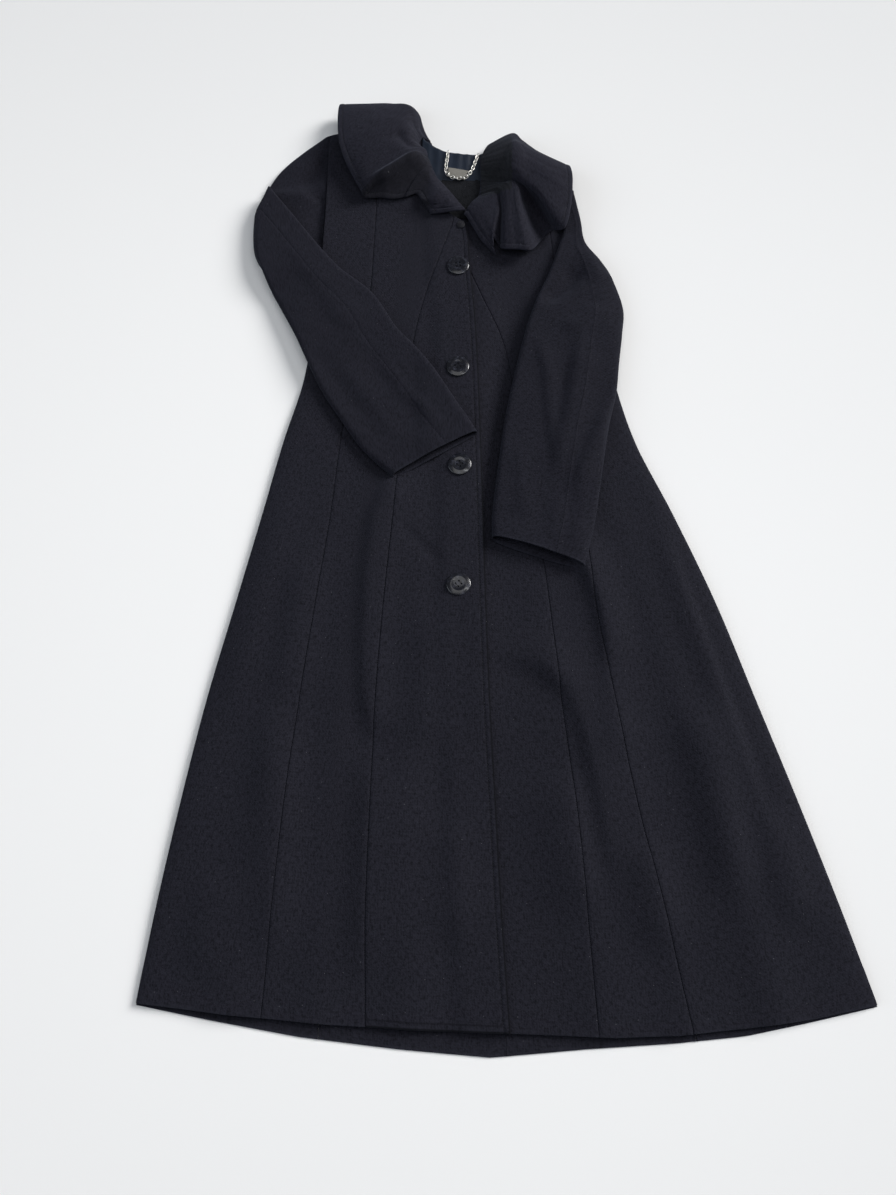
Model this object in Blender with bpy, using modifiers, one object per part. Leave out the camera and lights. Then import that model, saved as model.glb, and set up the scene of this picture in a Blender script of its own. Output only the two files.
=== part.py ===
"""A long navy wool coat of princess cut with a ruffled collar, laid flat on its back.

Axes: +Z up from the surface it lies on, +Y towards the neck, +X towards the
wearer's left sleeve.  Every table is in millimetres and becomes metres in make().
The wearer's right front lies over the left front; the right sleeve is folded
back over itself at the elbow, the left sleeve lies straight down the front.
"""
import bpy
import bmesh
import math
import numpy as np

MM = 0.001
WALL = 2.0            # wool cloth
LINING_WALL = 1.0     # lining and label
SEAM = 0.15           # half of the gap left at a seam
LAYER = 8.0           # middle of the back to middle of the front
ROLL = 22.0           # width over which the front rolls down to a side seam
EDGE_RISE = 2.1       # middle of the back to the front's rim at a side seam
LAP_RISE = 2.8        # the right front over the left one
UNDERLAP = 35.0       # left front under the right one
NECK_RISE = 4.5       # the back is lifted by the collar folded under it
NECK_AT = (-45.0, 600.0)
SHIFT = (-0.4, -7.5)    # from the drafting frame to the part's own origin

# ---------------------------------------------------------------- body lines
# y, right side, right outer seam, right inner seam, front edge,
# left inner seam, left outer seam, left side, centre back
BODY = np.array([
    (-600, -404, -265, -152,   4,  98, 199, 408,  -1),
    (-480, -389, -258, -154,  -3,  91, 177, 375,  -7),
    (-360, -371, -250, -152,  -8,  83, 153, 340, -15),
    (-240, -350, -239, -149, -13,  71, 134, 303, -22),
    (-120, -324, -225, -142, -16,  61, 117, 266, -29),
    (   0, -298, -211, -132, -18,  49, 108, 221, -40),
    ( 100, -277, -202, -124, -20,  36, 102, 180, -47),
    ( 190, -255, -189, -115, -22,  23,  96, 158, -50),
    ( 250, -248, -181, -109, -24,  11,  92, 148, -52),
    ( 320, -243, -170,  -94, -28, -17,  88, 135, -53),
    ( 380, -239, -167,  -75, -33, -39,  84, 127, -52),
    ( 410, -238, -166,  -65, -34, -44,  81, 123, -51),
    ( 440, -237, -165,  -56, -38, -48,  79, 120, -50),
    ( 500, -236, -163,  -52, -38, -48,  77, 114, -48),
    ( 590, -235, -163,  -52, -38, -48,  76, 105, -45)], float)
COL = {"right_side": 1, "right_outer": 2, "right_inner": 3, "front_edge": 4,
       "left_inner": 5, "left_outer": 6, "left_side": 7, "centre_back": 8}

# x, y along the hems, the shoulders and the neck
FRONT_HEM = ((-404, -575), (-305, -586), (-195, -596), (-90, -602), (0, -605),
             (119, -609), (182, -607), (256, -600), (331, -591), (408, -577))
BACK_HEM = ((-404, -577), (-322, -592), (-221, -609), (-115, -621), (-17, -629),
            (83, -621), (183, -615), (257, -608), (332, -594), (408, -579))
FRONT_TOP = ((-235, 595), (-163, 607), (-111, 615), (-107, 600), (-100, 547),
             (-86, 494), (-63, 456), (-50, 445), (-38, 439), (-18, 453),
             (8, 494), (16, 535), (19, 577), (76, 528), (114, 497))
BACK_TOP = ((-235, 595), (-163, 607), (-111, 615), (-107, 608), (-96, 586),
            (-80, 573), (-67, 566), (-43, 562), (-21, 560), (-8, 564),
            (13, 575), (19, 577), (76, 528), (114, 497))
SHOULDER = ((-260, 592), (-235, 595), (-163, 607), (-111, 615), (-95, 690),
            (5, 690), (19, 577), (76, 528), (114, 497), (140, 470))

# soft upright folds of the skirt: place across the front (0 right side, 1 left
# side), spread, height
FLUTES = ((0.13, 0.035, 3.2), (0.245, 0.030, 2.0), (0.37, 0.035, 3.2),
          (0.63, 0.040, 3.0), (0.735, 0.030, 2.4), (0.86, 0.035, 3.6))

# ------------------------------------------------------------------- sleeves
# right sleeve, upper arm: along, upper edge x y, lower edge x y, thickness
UPPER_ARM = ((0.00, -236.3, 594, -242.5, 362, 7.6),
             (0.35, -268, 567, -264, 356, 7.0),
             (0.70, -300, 534, -296, 360, 6.0),
             (1.00, -321, 501, -321, 366, 5.0))
# right sleeve, forearm: along, upper edge x y, lower edge x y, thickness,
# lift over what it lies on, bow of the fold
FOREARM = ((0.00, -321, 501, -321, 366, 5.0, 1.5, -5),
           (0.10, -283, 450, -315, 350, 6.0, 1.0, -2),
           (0.20, -250, 405, -305, 327, 6.5, 0.5, 0),
           (0.32, -213, 360, -287, 292, 7.0, 0.0, 0),
           (0.44, -168, 320, -268, 255, 7.0, 0.0, 0),
           (0.58, -131, 262, -247, 208, 7.0, 0.0, 0),
           (0.68, -109, 237, -227, 166, 7.0, 0.0, 0),
           (0.78, -82, 200, -203, 128, 7.0, 0.0, 0),
           (0.90, -52, 150, -170, 80, 7.5, 0.0, 0),
           (1.00, -26, 106, -133, 45, 8.0, 0.0, 0))
ELBOW_RADIUS = 6.25
CLEAR = 2.0           # middle of a sleeve's lower layer over what it lies on
# left sleeve: along, outer edge x y, inner edge x y, thickness
LEFT_SLEEVE = ((0.00, 114, 488, 84, 470, 5.0),
               (0.07, 122, 440, 99, 428, 5.0),
               (0.14, 126, 400, 88, 385, 6.0),
               (0.20, 142, 372, 76, 350, 7.0),
               (0.27, 160, 341, 61, 316, 8.0),
               (0.35, 174, 297, 47, 277, 8.5),
               (0.43, 170, 255, 38, 245, 8.5),
               (0.51, 163, 209, 30, 212, 8.0),
               (0.60, 157, 165, 20, 168, 8.0),
               (0.70, 145, 117, 10, 116, 8.0),
               (0.80, 132, 47, 0, 46, 8.5),
               (0.90, 120, -18, -7, -8, 9.0),
               (1.00, 105, -78, -8, -40, 10.0))
# where the two pieces of a sleeve meet, in turns round the tube
RIGHT_SEAMS = (0.403, 1.25)
LEFT_SEAMS = (0.376, 1.70)

# -------------------------------------------------------------------- collar
# a row per fold of the ruffle, from the front end to the centre back; five
# points across it (x, y, height) from the neck seam to the free edge
RUFFLE_RIGHT = (
    ((-38, 454, 18), (-48, 451, 20), (-57, 450, 20), (-71, 449, 18), (-87, 449, 15)),
    ((-49, 470, 17), (-56, 462, 22), (-66, 459, 22), (-78, 459, 20), (-93, 460, 17)),
    ((-66, 494, 17), (-73, 484, 24), (-80, 475, 25), (-88, 468, 23), (-100, 469, 20)),
    ((-77, 509, 16), (-86, 502, 22), (-93, 496, 21), (-100, 487, 19), (-108, 482, 17)),
    ((-84, 523, 16), (-94, 516, 25), (-105, 505, 24), (-115, 491, 21), (-122, 476, 18)),
    ((-86, 530, 16), (-96, 522, 25), (-105, 507, 22), (-114, 492, 19), (-121, 478, 16)),
    ((-89, 539, 16), (-105, 533, 32), (-117, 516, 26), (-128, 494, 21), (-139, 474, 16)),
    ((-92, 548, 16), (-110, 534, 34), (-135, 515, 32), (-148, 496, 23), (-159, 476, 16)),
    ((-93, 555, 16), (-115, 539, 35), (-147, 508, 34), (-166, 491, 26), (-179, 475, 17)),
    ((-95, 562, 16), (-118, 548, 35), (-149, 527, 36), (-175, 491, 30), (-186, 484, 21)),
    ((-98, 570, 15), (-116, 569, 33), (-147, 562, 36), (-182, 550, 34), (-211, 536, 27)),
    ((-96, 579, 12), (-112, 601, 28), (-144, 607, 31), (-181, 603, 31), (-221, 582, 27)),
    ((-90, 588, 10), (-113, 632, 20), (-145, 639, 20), (-181, 639, 20), (-221, 638, 20)),
    ((-86, 588, 2.6), (-107, 630, 5), (-142, 632, 4), (-176, 629, 3), (-206, 620, 3)),
    ((-84, 571, 2.4), (-108, 576, 2.2), (-132, 572, 2.0), (-152, 564, 1.8), (-168, 553, 1.6)),
    ((-68, 562, 2.4), (-78, 546, 2.2), (-92, 530, 2.0), (-106, 515, 1.8), (-118, 502, 1.4)),
    ((-45.2, 559, 2.4), (-45.2, 543, 2.2), (-45.2, 528, 2.0), (-45.2, 513, 1.8), (-45.2, 499, 1.4)))
RUFFLE_LEFT = (
    ((-41, 450, 14), (-36, 442, 16), (-26, 421, 17), (-14, 400, 16), (3, 382, 14)),
    ((-32, 467, 14), (-27, 455, 20), (-18, 433, 22), (-8, 411, 21), (0, 393, 18)),
    ((-23, 477, 14), (-4, 472, 24), (4, 446, 27), (1, 423, 26), (-1, 406, 23)),
    ((-20, 481, 13), (6, 479, 24), (12, 457, 17), (11, 425, 13), (9, 397, 11.8)),
    ((-19, 486, 13), (10, 483, 28), (15, 454, 28), (15, 416, 27), (15, 384, 24)),
    ((-18, 492, 13), (20, 487, 31), (26, 454, 32), (29, 414, 31), (33, 381, 27)),
    ((-17, 499, 13), (28, 487, 31), (36, 450, 32), (43, 413, 31), (51, 380, 27)),
    ((-17, 505, 13), (34, 490, 26), (47, 466, 18), (57, 433, 14), (67, 407, 13)),
    ((-17, 512, 13), (37, 492, 27), (54, 476, 22), (69, 449, 17), (81, 421, 15)),
    ((-17, 522, 13), (30, 497, 34), (49, 478, 36), (74, 444, 35), (98, 414, 30)),
    ((-17, 533, 13), (25, 513, 38), (54, 496, 40), (86, 474, 38), (108, 451, 31)),
    ((-17, 544, 12), (26, 532, 38), (52, 522, 40), (84, 503, 38), (112, 494, 31)),
    ((-13, 557, 12), (25, 561, 30), (39, 551, 33), (74, 533, 32), (111, 520, 25)),
    ((-6, 573, 10), (29, 587, 18), (44, 574, 18), (69, 553, 16), (109, 530, 14)),
    ((-5, 573, 2.6), (29, 588, 4), (45, 574, 4), (67, 554, 3.5), (96, 533, 3.2)),
    ((-20, 557, 2.4), (5, 545, 2.2), (24, 530, 2.0), (42, 514, 1.8), (58, 499, 1.4)),
    ((-32, 559, 2.4), (-22, 541, 2.2), (-11, 525, 2.0), (0, 511, 1.8), (12, 499, 1.4)),
    ((-44.9, 559, 2.4), (-44.9, 543, 2.2), (-44.9, 528, 2.0), (-44.9, 513, 1.8), (-44.9, 499, 1.4)))

# ------------------------------------------------------------------ fittings
BUTTON_RADIUS = 15.0
BUTTONS = ((-49, 365), (-50, 206), (-48, 63), (-50, -99))     # x, y
# radius, height of the dished button from its back, round rim included
BUTTON_PROFILE = ((0, 2.7), (8.0, 2.9), (12.0, 3.8), (13.4, 4.2), (14.6, 3.6),
                  (15.0, 2.2), (14.2, 0.8), (11.5, 0), (0, 0))
HOLE_RADIUS = 1.3
HOLE_OFFSET = 2.6
SNAP = (-45, 433)
SNAP_PROFILE = ((0, 3.0), (3.4, 2.8), (5.6, 2.0), (6.0, 0.8), (5.2, 0), (0, 0))
# x, y, height along the hanging chain
CHAIN = ((-63, 561, 10.4), (-65, 542, 10.8), (-66, 526, 11.6), (-59, 517, 11.8),
         (-48, 514, 11.8), (-36, 517, 11.8), (-29, 528, 11.6), (-24, 543, 10.8),
         (-20, 556, 10.4))
CHAIN_RADIUS = 1.3
LINING_LOW = 452.0
LINING_CLEAR = 0.7    # lining over the back it lies on
LABEL = ((-64, 518), (-39, 512), (-34, 528), (-63, 534))


# ----------------------------------------------------------------- functions
def ease(t):
    t = np.clip(t, 0.0, 1.0)
    return t * t * (3 - 2 * t)


def cubic(keys, rows, q):
    """Smooth curve through the rows of a table; held at its ends."""
    k = np.asarray(keys, float)
    v = np.asarray(rows, float)
    flat = v.reshape(len(k), -1)
    step = np.diff(k)[:, None]
    slope = np.diff(flat, axis=0) / step
    m = np.empty_like(flat)
    m[0], m[-1] = slope[0], slope[-1]
    w0, w1 = step[1:], step[:-1]
    m[1:-1] = (slope[:-1] * w0 + slope[1:] * w1) / (w0 + w1)
    q = np.clip(np.asarray(q, float), k[0], k[-1])
    i = np.clip(np.searchsorted(k, q, side="right") - 1, 0, len(k) - 2)
    h = (k[i + 1] - k[i])[..., None]
    t = ((q - k[i])[..., None]) / h
    a, b, ma, mb = flat[i], flat[i + 1], m[i], m[i + 1]
    out = ((2 * t**3 - 3 * t**2 + 1) * a + (t**3 - 2 * t**2 + t) * h * ma
           + (-2 * t**3 + 3 * t**2) * b + (t**3 - t**2) * h * mb)
    return out.reshape(q.shape + v.shape[1:])


def body_line(name, y):
    if name == "back_right":
        return 0.5 * (body_line("right_side", y) + body_line("centre_back", y))
    if name == "back_left":
        return 0.5 * (body_line("left_side", y) + body_line("centre_back", y))
    if name == "left_under":
        return body_line("front_edge", y) - UNDERLAP
    return cubic(BODY[:, 0], BODY[:, COL[name]], y)


def neck_rise(x, y):
    rho = np.hypot(x - NECK_AT[0], y - NECK_AT[1])
    return NECK_RISE * ease((215 - rho) / 65) * ease((y - 443) / 50)


def flutes(x, y):
    a, b = body_line("right_side", y), body_line("left_side", y)
    w = (x - a) / (b - a)
    f = sum(h * np.exp(-((w - c) / s) ** 2) for c, s, h in FLUTES)
    return f * ease((160 - y) / 560)


def lap(x, y):
    return LAP_RISE * ease((x - body_line("front_edge", y) + 68) / 24)


def back_height(x, y):
    return 1.0 + neck_rise(x, y)


def front_height(x, y):
    xs, ys = zip(*SHOULDER)
    d = np.minimum(x - body_line("right_side", y) + 1.5 * np.maximum(0, y - 365),
                   body_line("left_side", y) - x + 1.5 * np.maximum(0, y - 330))
    d = np.minimum(d, 0.95 * (np.interp(x, xs, ys) - y))
    roll = np.sqrt(1 - (1 - np.clip(d, 0, ROLL) / ROLL) ** 2)
    rise = LAYER - 3.0 * ease((-470 - y) / 120) + flutes(x, y)
    return back_height(x, y) + EDGE_RISE + roll * (rise - EDGE_RISE)


def support(x, y):
    """Top of the cloth that a sleeve lies on, inside the outline of the body."""
    z = back_height(x, y) + LAYER + 1.0 + flutes(x, y)
    return z + np.where(x < body_line("front_edge", y), lap(x + 22, y), 0.0)


def left_support(x, y):
    out = np.maximum(0, x - body_line("left_side", y))
    return support(x, y) * (1 - ease(out / 60))


def right_support(x, y):
    out = np.minimum(body_line("right_side", y) - x, 370 - y)
    return support(x, y) * (1 - ease(np.maximum(0, out) / 110))


def panel(left, right, hem, top, height):
    """One cut piece of the body as a function of (across, up)."""
    hx, hy = zip(*hem)
    ku, ky = [], []
    for x, y in top:
        a, b = float(body_line(left, y)), float(body_line(right, y))
        if not ku or (x - a) / (b - a) > ku[-1]:
            ku.append((x - a) / (b - a))
            ky.append(y)

    def f(u, v):
        a, b = body_line(left, -600.0) , body_line(right, -600.0)
        low = np.interp(a + (b - a) * u, hx, hy)
        y = low + (np.interp(u, ku, ky) - low) * v
        x = (body_line(left, y) + SEAM) * (1 - u) + (body_line(right, y) - SEAM) * u
        return x, y, height(x, y)
    return f


def tube_place(r, width, thick):
    """Place across a flattened tube, and offset from its middle, at turn r."""
    s = (1 - np.cos(np.pi * r)) / 2
    edge = 0.8 * thick
    d = np.clip(np.minimum(s, 1 - s) * width / edge, 0, 1)
    side = np.where((r % 2.0) < 1.0, -1.0, 1.0)
    return s, side * 0.5 * thick * np.sqrt(np.maximum(0, 1 - (1 - d) ** 2))


def right_sleeve(u, r):
    """u: 0-1 upper arm, 1-2 the fold at the elbow, 2-3 forearm; r round the tube."""
    ua = np.asarray(UPPER_ARM, float)
    fa = np.asarray(FOREARM, float)
    up = cubic(ua[:, 0], ua[:, 1:], np.clip(u, 0, 1))
    fo = cubic(fa[:, 0], fa[:, 1:], np.clip(u - 2, 0, 1))
    fore = u >= 2
    e = np.where(fore[..., None], fo[..., :5], up)
    width = np.hypot(e[..., 0] - e[..., 2], e[..., 1] - e[..., 3])
    s, n = tube_place(r, width, e[..., 4])
    bow = np.where(fore, fo[..., 6], -5 * ease((u - 0.6) / 0.4))
    x = e[..., 0] * (1 - s) + e[..., 2] * s + bow * 4 * s * (1 - s)
    y = e[..., 1] * (1 - s) + e[..., 3] * s
    half = 0.5 * e[..., 4]
    z_up = 1.0 + neck_rise(x, y) + half + n
    z_fore = right_support(x, y) + CLEAR + fo[..., 5] + half - n
    theta = np.pi * np.clip(u - 1, 0, 1)
    bend = (u > 1) & (u < 2)
    reach = ELBOW_RADIUS - n
    round_end = 0.45 + 0.55 * np.sqrt(1 - (2 * s - 1) ** 4)
    z = np.where(fore, z_fore, z_up)
    z = np.where(bend, 1.0 + half + ELBOW_RADIUS - reach * np.cos(theta), z)
    x = np.where(bend, x - round_end * reach * np.sin(theta), x)
    return x, y, z


def left_sleeve(u, r):
    t = np.asarray(LEFT_SLEEVE, float)
    e = cubic(t[:, 0], t[:, 1:], u)
    width = np.hypot(e[..., 0] - e[..., 2], e[..., 1] - e[..., 3])
    s, n = tube_place(r, width, e[..., 4])
    x = e[..., 0] * (1 - s) + e[..., 2] * s
    y = e[..., 1] * (1 - s) + e[..., 3] * s
    return x, y, left_support(x, y) + CLEAR + 0.5 * e[..., 4] - n


def ruffle(table):
    rows = np.asarray(table, float)
    keys = np.arange(len(rows), dtype=float)

    def f(u, v):
        across = cubic(keys, rows.reshape(len(rows), -1), u)
        across = across.reshape(u.shape + (5, 3))
        t = v * 4
        i = np.clip(t.astype(int), 0, 3)
        w = (t - i)[..., None]
        pick = lambda k: np.take_along_axis(
            across, np.clip(k, 0, 4)[..., None, None].repeat(3, -1), axis=-2)[..., 0, :]
        a, b, c, d = pick(i - 1), pick(i), pick(i + 1), pick(i + 2)
        ma, mb = (c - a) / 2, (d - b) / 2
        p = ((2 * w**3 - 3 * w**2 + 1) * b + (w**3 - 2 * w**2 + w) * ma
             + (-2 * w**3 + 3 * w**2) * c + (w**3 - w**2) * mb)
        return p[..., 0], p[..., 1], p[..., 2]
    return f


def lining(u, v):
    xs, ys = zip(*BACK_TOP[3:11])
    x = -100 + 112 * u
    top = np.interp(x, xs, ys) - 1.5
    y = LINING_LOW + (top - LINING_LOW) * v
    return x, y, back_height(x, y) + 1 + LINING_CLEAR + 0.5 * LINING_WALL


def label(u, v):
    c = np.asarray(LABEL, float)
    p = ((1 - u)[..., None] * (1 - v)[..., None] * c[0] + u[..., None] * (1 - v)[..., None] * c[1]
         + u[..., None] * v[..., None] * c[2] + (1 - u)[..., None] * v[..., None] * c[3])
    x, y = p[..., 0], p[..., 1]
    return x, y, back_height(x, y) + 1 + LINING_CLEAR + LINING_WALL + 0.4 + 0.5 * LINING_WALL


# -------------------------------------------------------------------- making
def material(name, color, roughness, metallic=0.0):
    m = bpy.data.materials.new(name)
    m.use_nodes = True
    b = m.node_tree.nodes["Principled BSDF"]
    b.inputs["Base Color"].default_value = (*color, 1.0)
    b.inputs["Roughness"].default_value = roughness
    b.inputs["Metallic"].default_value = metallic
    m.diffuse_color = (*color, 1.0)
    return m


def put(name, mesh, mat, collection):
    mesh.materials.append(mat)
    ob = bpy.data.objects.new(name, mesh)
    collection.objects.link(ob)
    return ob


def sheet(name, f, us, vs, mat, collection, wall=WALL):
    """A wall of cloth: a flat grid laid on the surface f(u, v), made solid."""
    u, v = np.meshgrid(np.asarray(us, float), np.asarray(vs, float), indexing="ij")
    nu, nv = u.shape
    x, y, z = (a.T.ravel() for a in f(u, v))
    bm = bmesh.new()
    bmesh.ops.create_grid(bm, x_segments=nu - 1, y_segments=nv - 1, size=1.0)
    for vert in bm.verts:
        i = round((vert.co.x + 1) / 2 * (nu - 1))
        j = round((vert.co.y + 1) / 2 * (nv - 1))
        k = j * nu + i
        vert.co = ((x[k] + SHIFT[0]) * MM, (y[k] + SHIFT[1]) * MM, z[k] * MM)
    mesh = bpy.data.meshes.new(name)
    bm.to_mesh(mesh)
    bm.free()
    mesh.shade_smooth()
    ob = put(name, mesh, mat, collection)
    s = ob.modifiers.new("wall", "SOLIDIFY")
    s.thickness = wall * MM
    s.offset = 0.0
    s.use_even_offset = False
    s.use_rim = True
    return ob


def turned(name, profile, at, height, mat, collection, turns=28):
    """A round solid: a profile of (radius, height) pairs, top to bottom, turned."""
    mesh = bpy.data.meshes.new(name)
    mesh.from_pydata([(r * MM, 0.0, z * MM) for r, z in profile],
                     [(k, k + 1) for k in range(len(profile) - 1)], [])
    ob = put(name, mesh, mat, collection)
    ob.location = ((at[0] + SHIFT[0]) * MM, (at[1] + SHIFT[1]) * MM, height * MM)
    screw = ob.modifiers.new("turn", "SCREW")
    screw.axis = "Z"
    screw.angle = 2 * math.pi
    screw.steps = screw.render_steps = turns
    screw.use_merge_vertices = True
    screw.merge_threshold = 0.0001
    return ob


def holes(name, at, height, collection):
    bm = bmesh.new()
    for sx in (-1, 1):
        for sy in (-1, 1):
            ring = bmesh.ops.create_cone(bm, cap_ends=True, segments=10,
                                         radius1=HOLE_RADIUS * MM, radius2=HOLE_RADIUS * MM,
                                         depth=12 * MM)["verts"]
            bmesh.ops.translate(bm, verts=ring, vec=((at[0] + SHIFT[0] + sx * HOLE_OFFSET) * MM,
                                                     (at[1] + SHIFT[1] + sy * HOLE_OFFSET) * MM,
                                                     (height + 2) * MM))
    mesh = bpy.data.meshes.new(name)
    bm.to_mesh(mesh)
    bm.free()
    ob = bpy.data.objects.new(name, mesh)
    ob.hide_render = True
    ob.display_type = "WIRE"
    collection.objects.link(ob)
    return ob


def cord(name, points, radius, mat, collection):
    curve = bpy.data.curves.new(name, "CURVE")
    curve.dimensions = "3D"
    curve.bevel_depth = radius * MM
    curve.bevel_resolution = 1
    curve.use_fill_caps = True
    curve.resolution_u = 3
    spline = curve.splines.new("BEZIER")
    spline.bezier_points.add(len(points) - 1)
    for b, (x, y, z) in zip(spline.bezier_points, points):
        b.co = ((x + SHIFT[0]) * MM, (y + SHIFT[1]) * MM, z * MM)
        b.handle_left_type = b.handle_right_type = "AUTO"
    curve.materials.append(mat)
    ob = bpy.data.objects.new(name, curve)
    collection.objects.link(ob)
    return ob


def top_of_right_front(x, y):
    x, y = np.array(float(x)), np.array(float(y))
    return float(front_height(x, y) + lap(x, y)) + 1.0


def make():
    for ob in list(bpy.data.objects):
        bpy.data.objects.remove(ob, do_unlink=True)
    coat = bpy.data.collections.new("ruffled_collar_coat")
    tools = bpy.data.collections.new("cutters")
    bpy.context.scene.collection.children.link(coat)
    bpy.context.scene.collection.children.link(tools)

    wool = material("navy_wool", (0.016, 0.017, 0.026), 0.85)
    ruffled = material("collar_wool", (0.017, 0.018, 0.027), 0.85)
    satin = material("lining_satin", (0.020, 0.035, 0.060), 0.40)
    woven = material("label_cloth", (0.33, 0.32, 0.28), 0.80)
    horn = material("button_resin", (0.012, 0.013, 0.020), 0.18)
    steel = material("chain_metal", (0.72, 0.71, 0.68), 0.25, 1.0)

    up = np.concatenate([np.linspace(0, 0.88, 10), (0.92, 0.95, 0.975, 0.99, 1)])
    side = (0, 0.01, 0.035, 0.08, 0.14, 0.22, 0.45, 0.72, 1)
    plain = np.linspace(0, 1, 6)
    right = lambda x, y: front_height(x, y) + lap(x, y)
    fronts = (
        ("right_front_side", "right_side", "right_outer", side, front_height),
        ("right_front_middle", "right_outer", "right_inner", (0, 0.24, 0.47, 0.52, 0.58, 0.69, 0.9, 1), right),
        ("right_front_centre", "right_inner", "front_edge", plain, right),
        ("left_front_centre", "left_under", "left_inner", plain, front_height),
        ("left_front_middle", "left_inner", "left_outer", (0, 0.24, 0.45, 0.51, 0.55, 0.78, 1), front_height),
        ("left_front_side", "left_outer", "left_side", tuple(1 - s for s in side[::-1]), front_height))
    for name, a, b, us, height in fronts:
        sheet(name, panel(a, b, FRONT_HEM, FRONT_TOP, height), us, up, wool, coat)
    for name, a, b in (("right_back_side", "right_side", "back_right"),
                       ("right_back_centre", "back_right", "centre_back"),
                       ("left_back_centre", "centre_back", "back_left"),
                       ("left_back_side", "back_left", "left_side")):
        sheet(name, panel(a, b, BACK_HEM, BACK_TOP, back_height),
              np.linspace(0, 1, 5), np.concatenate([np.linspace(0, 0.84, 6), np.linspace(0.87, 1, 9)]),
              wool, coat)

    arm = np.concatenate([np.linspace(0, 1, 5), 1 + np.linspace(0, 1, 7)[1:-1],
                          2 + np.linspace(0, 1, 12)])
    gap = 0.002
    first, second = RIGHT_SEAMS
    sheet("right_sleeve_top", right_sleeve, arm, np.linspace(second + gap, 2 + first - gap, 13), wool, coat)
    sheet("right_sleeve_under", right_sleeve, arm, np.linspace(first + gap, second - gap, 10), wool, coat)
    arm = np.linspace(0, 1, 18)
    first, second = LEFT_SEAMS
    sheet("left_sleeve_top", left_sleeve, arm, np.linspace(first + gap, second - gap, 13), wool, coat)
    sheet("left_sleeve_under", left_sleeve, arm, np.linspace(second + gap, 2 + first - gap, 9), wool, coat)

    sheet("collar_ruffle_right", ruffle(RUFFLE_RIGHT), np.linspace(0, len(RUFFLE_RIGHT) - 1, 2 * len(RUFFLE_RIGHT) - 1),
          np.linspace(0, 1, 9), ruffled, coat)
    sheet("collar_ruffle_left", ruffle(RUFFLE_LEFT), np.linspace(0, len(RUFFLE_LEFT) - 1, 2 * len(RUFFLE_LEFT) - 1),
          np.linspace(0, 1, 9), ruffled, coat)
    sheet("back_lining", lining, np.linspace(0, 1, 9), np.linspace(0, 1, 5), satin, coat, LINING_WALL)
    sheet("neck_label", label, np.linspace(0, 1, 3), np.linspace(0, 1, 3), woven, coat, LINING_WALL)
    cord("hanger_chain", CHAIN, CHAIN_RADIUS, steel, coat)

    for k, (x, y) in enumerate(BUTTONS, 1):
        height = max(top_of_right_front(x + dx, y + dy) for dx in (-14, 0, 14) for dy in (-14, 0, 14)) + 0.3
        ob = turned("button_%d" % k, BUTTON_PROFILE, (x, y), height, horn, coat)
        cut = ob.modifiers.new("holes", "BOOLEAN")
        cut.operation = "DIFFERENCE"
        cut.solver = "EXACT"
        cut.object = holes("button_%d_holes" % k, (x, y), height, tools)
    x, y = SNAP
    turned("neck_snap", SNAP_PROFILE, SNAP,
          max(top_of_right_front(x + dx, y) for dx in (-6, 0, 6)) + 0.3, horn, coat, 20)


make()
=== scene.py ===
"""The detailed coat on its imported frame: wool, ruffles, satin, buttons and chain.

Tables and surfaces are in millimetres, in the frame in which the coat was drafted;
points() turns them into metres in the frame's own place.
"""
import bpy
import bmesh
import math
import numpy as np
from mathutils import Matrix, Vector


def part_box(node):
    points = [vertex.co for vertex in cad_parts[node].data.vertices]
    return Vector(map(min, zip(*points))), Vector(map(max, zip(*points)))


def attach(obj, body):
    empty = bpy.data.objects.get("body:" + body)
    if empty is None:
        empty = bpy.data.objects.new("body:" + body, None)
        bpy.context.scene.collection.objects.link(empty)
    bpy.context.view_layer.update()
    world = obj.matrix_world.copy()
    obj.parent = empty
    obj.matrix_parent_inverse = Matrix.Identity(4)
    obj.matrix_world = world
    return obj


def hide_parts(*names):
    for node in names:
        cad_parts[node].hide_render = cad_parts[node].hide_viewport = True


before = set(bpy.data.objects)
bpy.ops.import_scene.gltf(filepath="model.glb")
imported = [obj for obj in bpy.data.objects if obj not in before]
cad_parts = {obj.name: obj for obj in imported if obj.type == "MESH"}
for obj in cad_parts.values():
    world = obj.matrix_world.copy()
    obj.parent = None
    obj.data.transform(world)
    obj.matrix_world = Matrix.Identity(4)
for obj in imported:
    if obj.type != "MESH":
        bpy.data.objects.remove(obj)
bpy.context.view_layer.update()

scene = bpy.context.scene

# ------------------------------------------------------------------- camera
# 18 degrees off the vertical, about 1.2 m above the coat
CAMERA_AT = (-0.0634, -0.4826, 1.1175)
CAMERA_TILT = math.radians(18.0)
CAMERA_LENS = 28.62

eye = bpy.data.cameras.new("eye")
eye.lens = CAMERA_LENS
eye.sensor_width = 36.0
eye.clip_start = 0.05
eye.clip_end = 20.0
camera = bpy.data.objects.new("eye", eye)
camera.location = CAMERA_AT
camera.rotation_euler = (CAMERA_TILT, 0.0, 0.0)
scene.collection.objects.link(camera)
scene.camera = camera

# ------------------------------------------------------- the coat's tables
MM = 0.001
WALL = 2.0            # wool cloth
LINING_WALL = 1.0     # lining and label
SEAM = 0.15           # half of the gap left at a seam
LAYER = 8.0           # middle of the back to middle of the front
ROLL = 22.0           # width over which the front rolls down to a side seam
EDGE_RISE = 2.1       # middle of the back to the front's rim at a side seam
LAP_RISE = 2.8        # the right front over the left one
UNDERLAP = 35.0       # left front under the right one
NECK_RISE = 4.5       # the back is lifted by the collar folded under it
NECK_AT = (-45.0, 600.0)
SHIFT = (-0.4, -7.5)    # from the drafting frame to the part's own origin

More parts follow.
